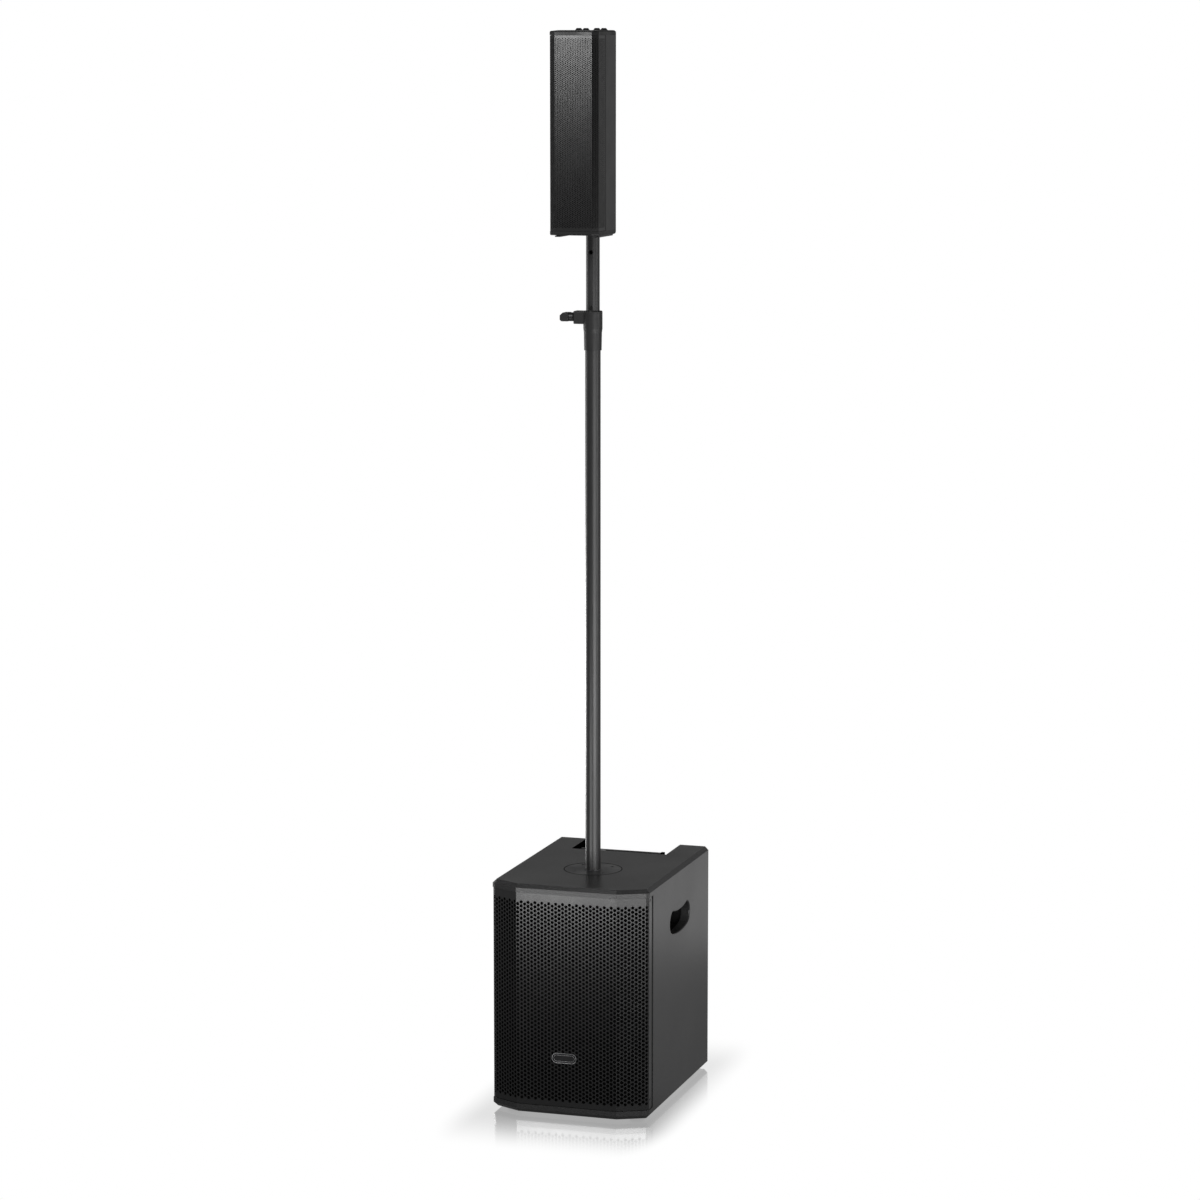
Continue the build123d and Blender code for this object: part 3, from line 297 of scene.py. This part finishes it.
NODE_LOOKS = {
    "paint": ["top_panel", "bottom_panel", "left_side_panel", "right_side_panel", "rear_panel"],
    "baffle": ["front_baffle", "head_baffle"],
    "grille": ["sub_grille"],
    "head_grille": ["head_grille"],
    "metal": ["control_panel", "panel_hood", "amp_plate", "woofer_basket", "driver_frames", "mount_rail"],
    "pole": ["lower_tube", "upper_tube"],
    "dark": ["snap_button", "left_handle_cup", "right_handle_cup"],
    "anodised": ["pole_socket", "head_socket", "heatsink", "socket_screws"],
    "plastic": ["port_tube", "clamp_collar", "clamp_knob", "guide_bush"],
    "shell": ["head_shell"],
    "cap": ["head_top_cap", "head_bottom_cap"],
    "control": ["mic_knob", "line_knob", "bass_knob", "pair_button", "power_switch", "input_jacks",
                "link_sockets", "power_inlet", "head_connector"],
    "rubber": ["rubber_feet", "woofer_surround", "clamp_pad"],
    "foam": ["grille_foam", "damping_pad"],
    "paper": ["woofer_cone", "woofer_dust_cap", "driver_cone_1", "driver_cone_2", "driver_cone_3",
              "driver_cone_4"],
    "steel": ["grille_screws", "panel_screws", "clamp_screw", "button_spring"],
    "ferrite": ["woofer_magnet", "driver_magnets"],
    "copper": ["woofer_coil"],
    "board": ["amp_board"],
    "badge": ["badge"],
}


def dress_nodes():
    """Give every CAD node its finish."""
    for look, names in NODE_LOOKS.items():
        for name in names:
            mesh = nodes[name].data
            mesh.materials.clear()
            mesh.materials.append(looks[look])


# ---------------------------------------------------------------- mesh helpers
def mesh_object(name, bm, look, body):
    """Turn a bmesh into a piece with a finish that rides on a body."""
    mesh = bpy.data.meshes.new(name)
    bm.to_mesh(mesh)
    bm.free()
    mesh.materials.append(looks[look])
    piece = bpy.data.objects.new(name, mesh)
    bpy.context.scene.collection.objects.link(piece)
    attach(piece, body)
    return piece


def circle(radius, steps):
    """Points of a circle about the origin."""
    turn = 2 * math.pi / steps
    return [(radius * math.cos(i * turn), radius * math.sin(i * turn)) for i in range(steps)]


def offset_path(points, distance):
    """Open outline moved inwards (to its left) by a distance, with mitred corners."""
    lines = []
    for a, b in zip(points, points[1:]):
        along = (Vector(b) - Vector(a)).normalized()
        inward = Vector((-along.y, along.x)) * distance
        lines.append((Vector(a) + inward, Vector(b) + inward, along))
    moved = [lines[0][0]]
    for (_, end, u), (start, _, v) in zip(lines, lines[1:]):
        cross = u.x * v.y - u.y * v.x
        gap = start - end
        moved.append(end + u * ((gap.x * v.y - gap.y * v.x) / cross))
    moved.append(lines[-1][1])
    return moved


def cell_faces(u, z, half_w, half_h, radius, sides):
    """Quads between a rectangular cell's edge and its round hole of 12 or 6 sides, in the flat sheet."""
    if sides == 12:
        edge = [(1, 0), (1, 0.5), (1, 1), (0, 1), (-1, 1), (-1, 0.5), (-1, 0), (-1, -0.5), (-1, -1),
                (0, -1), (1, -1), (1, -0.5)]
    else:
        edge = [(1, 0), (1, 1), (-1, 1), (-1, 0), (-1, -1), (1, -1)]
    outer = [(u + x * half_w, z + y * half_h) for x, y in edge]
    inner = [(u + x, z + y) for x, y in circle(radius, sides)]
    for i in range(sides):
        j = (i + 1) % sides
        yield outer[i], outer[j], inner[j], inner[i]


def corner_points(u, z, radius, side, start):
    """Quarter circle of a sheet's corner, from start degrees down by 90; side mirrors it."""
    if radius == 0:
        return [(u, z)]
    angles = [math.radians(start - 90 * i / 6) for i in range(7)]
    return [(u + side * radius * math.cos(angle), z + radius * math.sin(angle)) for angle in angles]


def perforated_sheet(name, path, thickness, z0, z1, pitch_u, radius, sides, margins, look, body,
                     corner=0.0, screws=()):
    """Bent sheet along an open plan path, with staggered columns of round holes.

    margins are the plain borders: (bottom, top, at each end of the path). corner rounds the sheet's
    four corners; screws lists (distance from the end, z, radius) of a hole in both end strips."""
    bottom, top, end = margins
    outer = [Vector(p) for p in path]
    inner = offset_path(path, thickness)
    lengths = [0.0]
    for a, b in zip(outer, outer[1:]):
        lengths.append(lengths[-1] + (b - a).length)
    total = lengths[-1]
    half = pitch_u / 2
    pitch_z = pitch_u / STAGGER
    columns = int((total - 2 * end) / pitch_u)
    first_u = total / 2 - columns * half
    rows = int((z1 - z0 - bottom - top) / pitch_z)
    low = z0 + bottom + ((z1 - z0 - bottom - top) - rows * pitch_z) / 2
    high = low + rows * pitch_z
    quarter = pitch_z / 4 if sides == 12 else pitch_z / 2

    bm = bmesh.new()
    corners = {}

    def vertex(point):
        key = (round(point[0] * 1e6), round(point[1] * 1e6))
        if key not in corners:
            corners[key] = bm.verts.new((point[0], point[1], 0))
        return corners[key]

    def face(points):
        bm.faces.new([vertex(p) for p in points])

    def side_points(u, z_from, z_to):
        """Points up one column edge, at every place where a cell beside it has a vertex."""
        count = round((z_to - z_from) / quarter)
        return [(u, z_from + i * quarter) for i in range(count + 1)]

    for column in range(columns):
        u = first_u + (column + 0.5) * pitch_u
        lift = (column % 2) * pitch_z / 2
        cells = rows - column % 2
        for row in range(cells):
            z = low + lift + (row + 0.5) * pitch_z
            for quad in cell_faces(u, z, half, pitch_z / 2, radius, sides):
                face(quad)
        middle = [(u, low + lift)] if sides == 12 else []
        above = [(u, low + lift + cells * pitch_z)] if sides == 12 else []
        left = side_points(u - half, low, low + lift)
        right = side_points(u + half, low, low + lift)
        face([(u - half, z0)] + left + middle + right[::-1] + [(u + half, z0)])
        left = side_points(u - half, high - lift, high)
        right = side_points(u + half, high - lift, high)
        face([(u + half, z1)] + right[::-1] + above + left + [(u - half, z1)])
    last_u = first_u + columns * pitch_u
    for end_u, way, edge_u in ((0, 1, first_u), (total, -1, last_u)):
        border = [(edge_u, z0)] + side_points(edge_u, low, high) + [(edge_u, z1)]
        border += corner_points(end_u + way * corner, z1 - corner, corner, -way, 90)
        border += corner_points(end_u + way * corner, z0 + corner, corner, -way, 0)
        loops = [border]
        for inset, z, hole in screws:
            loops.append([(end_u + way * inset + u, z + v) for u, v in circle(hole, SCREW_HOLE_SIDES)])
        edges = []
        for loop in loops:
            ring = [vertex(p) for p in loop]
            for a, b in zip(ring, ring[1:] + ring[:1]):
                edges.append(bm.edges.get((a, b)) or bm.edges.new((a, b)))
        bmesh.ops.triangle_fill(bm, use_beauty=True, edges=edges)

    for crease in lengths[1:-1]:
        geometry = bm.verts[:] + bm.edges[:] + bm.faces[:]
        bmesh.ops.bisect_plane(bm, geom=geometry, dist=1e-6, plane_co=(crease, 0, 0), plane_no=(1, 0, 0))
    bmesh.ops.recalc_face_normals(bm, faces=bm.faces[:])
    bmesh.ops.solidify(bm, geom=bm.faces[:], thickness=thickness)
    depths = [v.co.z for v in bm.verts]
    lowest, highest = min(depths), max(depths)

    for v in bm.verts:
        u = min(max(v.co.x, 0.0), total)
        part = (v.co.z - lowest) / (highest - lowest)
        segment = next(i for i in range(len(lengths) - 1) if u <= lengths[i + 1] + 1e-9)
        share = (u - lengths[segment]) / (lengths[segment + 1] - lengths[segment])
        front = outer[segment].lerp(outer[segment + 1], share)
        back = inner[segment].lerp(inner[segment + 1], share)
        spot = front.lerp(back, part)
        v.co = (spot.x, spot.y, v.co.y)
    bmesh.ops.recalc_face_normals(bm, faces=bm.faces[:])
    return mesh_object(name, bm, look, body)


def mirrored_path(half):
    """Open plan path, left end to right end, from its right-hand half listed from the middle out."""
    return [(-x, y) for x, y in reversed(half)] + half


# ---------------------------------------------------------------- grilles
def make_sub_grille():
    """Front grille, bent at its creases and corners, with a screw hole at each corner."""
    low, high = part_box("sub_grille")
    body_low, body_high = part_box("top_panel")
    front = body_low.y
    half_w = body_high.x
    half = [
        (CREASE_X, front),
        (half_w - CORNER_CHAMFER, front + FACET_DEPTH),
        (half_w, front + FACET_DEPTH + CORNER_CHAMFER),
        (half_w, high.y),
    ]
    path = offset_path(mirrored_path(half), GRILLE_GAP)
    pitch_u = 2 * CREASE_X / SUB_COLUMNS
    screw_low, screw_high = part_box("grille_screws")
    screw_y = (screw_low.y + screw_high.y) / 2
    head_r = (screw_high.y - screw_low.y) / 2
    screws = [(high.y - screw_y, z, head_r + SCREW_CLEARANCE)
              for z in (screw_low.z + head_r, screw_high.z - head_r)]
    piece = perforated_sheet("sub_grille_sheet", path, GRILLE_T, low.z, high.z, pitch_u, SUB_HOLE_R,
                             SUB_HOLE_SIDES, SUB_BORDERS, "grille", "cabinet", corner=SUB_CORNER_R,
                             screws=screws)
    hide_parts("sub_grille")


def head_path():
    """Plan outline of the head's front, from its left rear edge to its right rear edge."""
    shell_low, shell_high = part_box("head_top_cap")
    return mirrored_path([
        (HEAD_CREASE_X, shell_low.y),
        (shell_high.x, shell_low.y + HEAD_FACET_DEPTH),
        (shell_high.x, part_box("head_grille")[1].y),
    ])


def make_head_grille():
    """Grille wrapped round the head's front."""
    low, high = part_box("head_grille")
    path = offset_path(head_path(), HEAD_GRILLE_GAP)
    piece = perforated_sheet("head_grille_sheet", path, HEAD_GRILLE_T, low.z, high.z, HEAD_PITCH * STAGGER,
                             HEAD_HOLE_R, HEAD_HOLE_SIDES, HEAD_BORDERS, "head_grille", "head")
    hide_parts("head_grille")


def make_head_cloth():
    """Black acoustic cloth on the inside of the head's grille."""
    low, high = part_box("head_grille")
    gap = HEAD_GRILLE_GAP + HEAD_GRILLE_T + CLOTH_GAP
    outer = offset_path(head_path(), gap)
    inner = offset_path(head_path(), gap + CLOTH_T)
    bm = bmesh.new()
    rings = []
    for z in (low.z, high.z):
        loop = [bm.verts.new((p.x, p.y, z)) for p in outer + inner[::-1]]
        rings.append(loop)
        bm.faces.new(loop)
    for i in range(len(rings[0])):
        j = (i + 1) % len(rings[0])
        bm.faces.new((rings[0][i], rings[0][j], rings[1][j], rings[1][i]))
    bmesh.ops.recalc_face_normals(bm, faces=bm.faces[:])
    piece = mesh_object("head_cloth", bm, "foam", "head")


# ---------------------------------------------------------------- badge
def round_rectangle(half_w, half_h, radius, steps=8):
    """Points of a rectangle with rounded corners, about the origin."""
    points = []
    for quarter, (sx, sy) in enumerate(((1, 1), (-1, 1), (-1, -1), (1, -1))):
        for i in range(steps + 1):
            angle = math.radians(90 * (quarter + i / steps))
            points.append((sx * (half_w - radius) + radius * math.cos(angle),
                           sy * (half_h - radius) + radius * math.sin(angle)))
    return points


def flat_ring(bm, outer, inner, place, thickness):
    """Raised ring between two outlines of equal length; place turns (u, v, height) into a point."""
    rows = []
    for outline, height in ((outer, 0.0), (outer, thickness), (inner, thickness), (inner, 0.0)):
        rows.append([bm.verts.new(place(u, v, height)) for u, v in outline])
    count = len(outer)
    for row, next_row in zip(rows, rows[1:] + rows[:1]):
        for i in range(count):
            j = (i + 1) % count
            bm.faces.new((row[i], row[j], next_row[j], next_row[i]))
    bmesh.ops.recalc_face_normals(bm, faces=bm.faces[:])


def make_badge_lines():
    """Bright rim and one bright inner line on the plain dark badge."""
    low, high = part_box("badge")
    centre = (low + high) / 2
    half_w, half_h = (high.x - low.x) / 2, (high.z - low.z) / 2

    def place(u, v, height):
        return centre.x + u, low.y - height, centre.z + v

    bm = bmesh.new()
    for inset, width in BADGE_LINES:
        outer = round_rectangle(half_w - inset, half_h - inset, half_h - inset - BADGE_FLAT)
        inner = round_rectangle(half_w - inset - width, half_h - inset - width,
                                half_h - inset - width - BADGE_FLAT)
        flat_ring(bm, outer, inner, place, BADGE_LINE_T)
    mesh_object("badge_lines", bm, "brushed", "cabinet")


# ---------------------------------------------------------------- top and notch
def round_ring(name, centre, inner_r, outer_r, height, look, body):
    """Flat upright-axis ring standing on a point."""
    bm = bmesh.new()
    flat_ring(bm, circle(outer_r, RING_SIDES), circle(inner_r, RING_SIDES),
              lambda u, v, h: (centre[0] + u, centre[1] + v, centre[2] + h), height)
    mesh_object(name, bm, look, body)


def add_box(bm, low, high):
    """Add a box between two corners to a mesh."""
    size = Vector(high) - Vector(low)
    middle = (Vector(high) + Vector(low)) / 2
    bmesh.ops.create_cube(bm, size=1.0, matrix=Matrix.Translation(middle) @ Matrix.Diagonal((*size, 1)))


def make_socket_rings():
    """Black ring painted round the pole socket's flange as the shade of its recess, and the bright lip of its
    bore.
    """
    low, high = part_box("pole_socket")
    centre = ((low.x + high.x) / 2, (low.y + high.y) / 2, high.z)
    flange_r = (high.x - low.x) / 2
    tube_low, tube_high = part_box("lower_tube")
    tube_r = (tube_high.x - tube_low.x) / 2
    gap_shade_r = (flange_r - SOCKET_GAP_SHADE[0], flange_r + SOCKET_GAP_SHADE[1])
    lip_r = (tube_r + SOCKET_LIP[0], tube_r + SOCKET_LIP[1])
    # black ring that paints the shade of the flange's recess
    round_ring("socket_gap_shade", centre, *gap_shade_r, SOCKET_GAP_SHADE_T, "foam", "cabinet")
    round_ring("socket_lip", centre, *lip_r, SOCKET_LIP_T, "worn", "cabinet")


def make_notch_shade_and_latch():
    """Black sheets painted as shade on the notch's upright walls and beside the hood, and the round bright
    cap in the groove before the hood.
    """
    low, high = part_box("top_panel")
    hood_low, hood_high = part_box("panel_hood")
    half = NOTCH_HALF_W
    front = high.y - NOTCH_DEPTH
    top, bottom = high.z - SHADE_SHEET_TOP_GAP, low.z + SHADE_SHEET_FOOT_GAP
    groove, walls = bmesh.new(), bmesh.new()
    # black sheet painted as the shade in the groove along the notch's front wall
    add_box(groove, (-half, front, bottom), (half, front + SHADE_SHEET_T, top))
    for side in (-1, 1):
        # black sheet painted as the shade on each side wall
        add_box(walls, (side * half, front + SHADE_SHEET_T, bottom),
                (side * (half - SHADE_SHEET_T), high.y - SHADE_SHEET_REAR_GAP, top))
        # black strips painted as the shade beside the hood's ends
        add_box(groove, (side * (hood_high.x + HOOD_GAP_SHADE[0]), hood_low.y, hood_low.z),
                (side * (hood_high.x + HOOD_GAP_SHADE[1]), hood_high.y - HOOD_STRIP_SETBACK,
                 high.z - HOOD_STRIP_DROP))
    # the groove and wall sheets paint shade in black
    mesh_object("notch_groove_shade", groove, "foam", "cabinet")
    mesh_object("notch_wall_shade", walls, "foam", "cabinet")
    latch = bmesh.new()
    spot = (LATCH_X, (front + hood_low.y) / 2, high.z - LATCH_DROP)
    bmesh.ops.create_cone(latch, cap_ends=True, segments=LATCH_SIDES, radius1=LATCH_R[0],
                          radius2=LATCH_R[1], depth=LATCH_T, matrix=Matrix.Translation(spot))
    mesh_object("latch_cap", latch, "brushed", "cabinet")


def make_clamp_sleeve():
    """Plain sleeve round the clamp knob's neck, with a groove next to the grip painted black as its shade."""
    low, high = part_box("clamp_knob")
    middle = (low + high) / 2
    lying = Matrix.Rotation(math.radians(90), 4, "Y")
    for name, (inset, length, radius, look) in CLAMP_TURNINGS.items():
        bm = bmesh.new()
        place = Matrix.Translation((high.x - inset, middle.y, middle.z)) @ lying
        bmesh.ops.create_cone(bm, cap_ends=True, segments=48, radius1=radius, radius2=radius, depth=length,
                              matrix=place)
        mesh_object(name, bm, look, "clamp_knob")


# ---------------------------------------------------------------- rear panel
def make_panel_print():
    """Plain printed frames round the sockets and the heat sink; no lettering."""
    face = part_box("amp_plate")[1].y
    sink_low, sink_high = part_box("heatsink")
    inputs = (MOUNTS["mic_input"] + MOUNTS["line_input"]) / 2
    outputs = (MOUNTS["link_output_1"] + MOUNTS["link_output_2"]) / 2
    switch_low, switch_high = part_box("power_switch")
    switch = (switch_low + switch_high) / 2
    power = (MOUNTS["power_inlet"] + switch) / 2
    sink = (sink_low + sink_high) / 2
    sink_frame = ((sink_high.x - sink_low.x) / 2 + SINK_MARGIN, (sink_high.z - sink_low.z) / 2 + SINK_MARGIN)
    frames = ((inputs, SOCKET_FRAME), (outputs, SOCKET_FRAME), (power, POWER_FRAME), (sink, sink_frame))
    bm = bmesh.new()
    for centre, (half_w, half_h) in frames:
        outer = round_rectangle(half_w, half_h, PRINT_CORNER_R)
        inner = round_rectangle(half_w - PRINT_LINE, half_h - PRINT_LINE, PRINT_CORNER_R - PRINT_LINE)
        flat_ring(bm, outer, inner, lambda u, v, h: (centre.x + u, face + h, centre.z + v), PRINT_T)
    for name in SOCKET_RING_R:
        spot = MOUNTS[name]
        add_box(bm, (spot.x - TICK_HALF_W, face, spot.z + TICK_RISE[0]),
                (spot.x + TICK_HALF_W, face + PRINT_T, spot.z + TICK_RISE[1]))
    mesh_object("panel_print", bm, "print", "cabinet")


def make_socket_trims():
    """Nickel rings in the jacks and sockets."""
    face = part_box("link_sockets")[1].y - SOCKET_RING_DEPTH
    for name, radius in SOCKET_RING_R.items():
        spot = MOUNTS[name]
        outer = circle(radius, TRIM_SIDES)
        inner = [(TRIM_BORE * u, TRIM_BORE * v) for u, v in outer]
        bm = bmesh.new()
        flat_ring(bm, outer, inner, lambda u, v, h: (spot.x + u, face + h, spot.z + v), SOCKET_RING_T)
        mesh_object(f"{name}_ring", bm, "contact", "cabinet")


def joint_frame(name):
    """Matrix with its origin on a joint's position, +Z along its axis and +X along the frame's -X."""
    joint = JOINTS[name]
    upward = Vector(joint["axis"]).normalized()
    across = Vector((-1, 0, 0))
    third = upward.cross(across)
    turn = Matrix((across, third, upward)).transposed().to_4x4()
    return Matrix.Translation(Vector(joint["pos_m"])) @ turn


def small_box(bm, place, spot, size):
    """Add a box about a spot of a turned place to a mesh."""
    bmesh.ops.create_cube(bm, size=1.0, matrix=place @ Matrix.Translation(spot) @ Matrix.Diagonal((*size, 1)))


def make_knob_details():
    """Scale ticks on the slanted face; ribs, bright cap and pointer on each level knob."""
    for knob, joint in KNOB_JOINTS.items():
        place = joint_frame(joint)
        scale = bmesh.new()
        for i in range(SCALE_TICKS):
            turn = Matrix.Rotation(math.radians(SCALE_START + SCALE_STEP * i), 4, "Z")
            small_box(scale, place @ turn, (0, SCALE_R, SCALE_TICK[2] / 2), SCALE_TICK)
        mesh_object(f"{knob}_scale", scale, "print", "cabinet")

        ribs = bmesh.new()
        for i in range(KNOB_RIBS):
            turn = Matrix.Rotation(math.radians(360 / KNOB_RIBS * i), 4, "Z")
            small_box(ribs, place @ turn, (RIB_R, 0, RIB_MIDDLE_Z), RIB)
        mesh_object(f"{knob}_ribs", ribs, "control", knob)

        cap = bmesh.new()
        bmesh.ops.create_cone(cap, cap_ends=True, segments=36, radius1=CAP_R[0], radius2=CAP_R[1],
                              depth=CAP_T, matrix=place @ Matrix.Translation((0, 0, CAP_Z)))
        mesh_object(f"{knob}_cap", cap, "brushed", knob)

        pointer = bmesh.new()
        small_box(pointer, place, POINTER_SPOT, POINTER)
        mesh_object(f"{knob}_pointer", pointer, "print", knob)


def make_lamps():
    """Row of three indicator lamps on the slanted face."""
    place = joint_frame("bass_level") @ Matrix.Translation((-LAMPS_FROM_BASS, 0, 0))
    for i, look in enumerate(("lamp", "lamp", "lamp_red")):
        bm = bmesh.new()
        spot = Matrix.Translation(((i - 1) * LAMP_PITCH, LAMP_RISE, 0.0))
        bmesh.ops.create_uvsphere(bm, u_segments=20, v_segments=10, radius=LAMP_R, matrix=place @ spot)
        mesh_object(f"lamp_{i + 1}", bm, look, "cabinet")


# ---------------------------------------------------------------- stage
def calculate(tree, operation, first, second=None):
    """Math node on two sources, each a socket or a plain number."""
    made = tree.nodes.new("ShaderNodeMath")
    made.operation = operation
    for entry, source in enumerate((first, second)):
        if isinstance(source, (int, float)):
            made.inputs[entry].default_value = source
        elif source is not None:
            tree.links.new(source, made.inputs[entry])
    return made.outputs[0]


def smooth_ramp(tree, source, start, end, low=0.0, high=1.0):
    """Smooth step of a value from low at start to high at end."""
    ramp = tree.nodes.new("ShaderNodeMapRange")
    ramp.interpolation_type = "SMOOTHSTEP"
    for entry, value in (("From Min", start), ("From Max", end), ("To Min", low), ("To Max", high)):
        ramp.inputs[entry].default_value = value
    tree.links.new(source, ramp.inputs["Value"])
    return ramp.outputs["Result"]


def split_axes(tree, output):
    """Node with X, Y and Z of a texture coordinate."""
    place = tree.nodes.new("ShaderNodeTexCoord")
    axes = tree.nodes.new("ShaderNodeSeparateXYZ")
    tree.links.new(place.outputs[output], axes.inputs[0])
    return axes


def plan_length(tree, first, second):
    """Length of a plan vector from its two parts."""
    squares = [calculate(tree, "MULTIPLY", part, part) for part in (first, second)]
    return calculate(tree, "SQRT", calculate(tree, "ADD", squares[0], squares[1]))


def distance_to_footprint(tree):
    """Distance on the floor from the cabinet's footprint; distance to its sides counts more."""
    axes = split_axes(tree, "Object")
    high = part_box("bottom_panel")[1]
    parts = []
    for axis, half, scale in (("X", high.x, SIDE_STRETCH), ("Y", high.y, 1.0)):
        beyond = calculate(tree, "SUBTRACT", calculate(tree, "ABSOLUTE", axes.outputs[axis]), half)
        parts.append(calculate(tree, "MULTIPLY", calculate(tree, "MAXIMUM", beyond, 0.0), scale))
    return plan_length(tree, *parts)


def floor_glow(tree):
    """Brightness that the floor lends to reflections: low in front of the cabinet, higher elsewhere."""
    axes = split_axes(tree, "Object")
    along = calculate(tree, "SUBTRACT", axes.outputs["X"], DARK_FLOOR[0])
    along = calculate(tree, "MULTIPLY", along, DARK_SQUEEZE)
    away = calculate(tree, "SUBTRACT", axes.outputs["Y"], DARK_FLOOR[1])
    return smooth_ramp(tree, plan_length(tree, along, away), *DARK_EDGES, FLOOR_DARK, FLOOR_LIT)


def add_floor():
    """Pale floor, white to the camera, with a mirror image that fades away from the cabinet."""
    bm = bmesh.new()
    bmesh.ops.create_grid(bm, x_segments=1, y_segments=1, size=FLOOR_HALF)
    mesh = bpy.data.meshes.new("floor")
    bm.to_mesh(mesh)
    bm.free()

    material = bpy.data.materials.new("floor_white")
    material.use_nodes = True
    tree = material.node_tree
    tree.nodes.remove(tree.nodes["Principled BSDF"])
    shaders = {}
    for name, kind, level in (("glow", "ShaderNodeEmission", 1.0),
                              ("mirror", "ShaderNodeBsdfGlossy", FLOOR_MIRROR),
                              ("near", "ShaderNodeEmission", FLOOR_NEAR),
                              ("white", "ShaderNodeEmission", 1.0)):
        shaders[name] = tree.nodes.new(kind)
        shaders[name].inputs["Color"].default_value = (level, level, level, 1)
    shaders["mirror"].inputs["Roughness"].default_value = MIRROR_ROUGHNESS

    close = tree.nodes.new("ShaderNodeAddShader")
    tree.links.new(shaders["mirror"].outputs[0], close.inputs[0])
    tree.links.new(shaders["near"].outputs[0], close.inputs[1])
    seen = tree.nodes.new("ShaderNodeMixShader")
    tree.links.new(smooth_ramp(tree, distance_to_footprint(tree), 0.0, FLOOR_FADE), seen.inputs[0])
    tree.links.new(close.outputs[0], seen.inputs[1])
    tree.links.new(shaders["white"].outputs[0], seen.inputs[2])

    choose = tree.nodes.new("ShaderNodeMixShader")
    path = tree.nodes.new("ShaderNodeLightPath")
    tree.links.new(path.outputs["Is Camera Ray"], choose.inputs[0])
    tree.links.new(floor_glow(tree), shaders["glow"].inputs["Strength"])
    tree.links.new(shaders["glow"].outputs[0], choose.inputs[1])
    tree.links.new(seen.outputs[0], choose.inputs[2])
    tree.links.new(choose.outputs[0], tree.nodes["Material Output"].inputs["Surface"])
    mesh.materials.append(material)
    floor = bpy.data.objects.new("floor", mesh)
    bpy.context.scene.collection.objects.link(floor)


def add_card(name, centre, toward, size, strength):
    """Rectangular light card that faces a point, unseen by the camera."""
    light = bpy.data.lights.new(name, "AREA")
    light.shape = "RECTANGLE"
    light.size, light.size_y = size
    light.energy = 4 * strength * size[0] * size[1]
    card = bpy.data.objects.new(name, light)
    card.location = centre
    direction = Vector(toward) - Vector(centre)
    card.rotation_euler = direction.to_track_quat("-Z", "Y").to_euler()
    card.visible_camera = False
    bpy.context.scene.collection.objects.link(card)


def add_world():
    """White backdrop; as a light source it is a dim ring above the horizon, darker in front."""
    world = bpy.data.worlds.new("studio")
    world.use_nodes = True
    tree = world.node_tree
    axes = split_axes(tree, "Generated")
    ring = smooth_ramp(tree, axes.outputs["Z"], *RING_EDGES, WORLD_RING, WORLD_TOP)
    shade = smooth_ramp(tree, axes.outputs["Y"], *FRONT_EDGES, WORLD_FRONT, 1.0)

    path = tree.nodes.new("ShaderNodeLightPath")
    level = calculate(tree, "MULTIPLY", ring, shade)
    level = calculate(tree, "MAXIMUM", level, path.outputs["Is Camera Ray"])
    background = tree.nodes["Background"]
    background.inputs["Color"].default_value = (1, 1, 1, 1)
    tree.links.new(level, background.inputs["Strength"])
    bpy.context.scene.world = world


def add_camera():
    """Long lens from the front right, level with the head's top."""
    camera = bpy.data.cameras.new("camera")
    camera.sensor_width = CAMERA_SENSOR
    camera.lens = CAMERA_LENS
    camera.dof.use_dof = False
    holder = bpy.data.objects.new("camera", camera)
    holder.location = CAMERA_SPOT
    holder.rotation_euler = (math.radians(90 - CAMERA_DROP), 0, math.radians(CAMERA_TURN))
    bpy.context.scene.collection.objects.link(holder)
    bpy.context.scene.camera = holder


def add_stage():
    """Floor, backdrop and light cards; each card stands where a side or the pole mirrors it."""
    add_floor()
    add_world()
    for name, settings in CARDS.items():
        add_card(name, *settings)
    bpy.context.scene.view_settings.view_transform = "Standard"


add_camera()
dress_nodes()
make_sub_grille()
make_head_grille()
make_head_cloth()
make_badge_lines()
make_socket_rings()
make_notch_shade_and_latch()
make_clamp_sleeve()
make_panel_print()
make_socket_trims()
make_knob_details()
make_lamps()
add_stage()
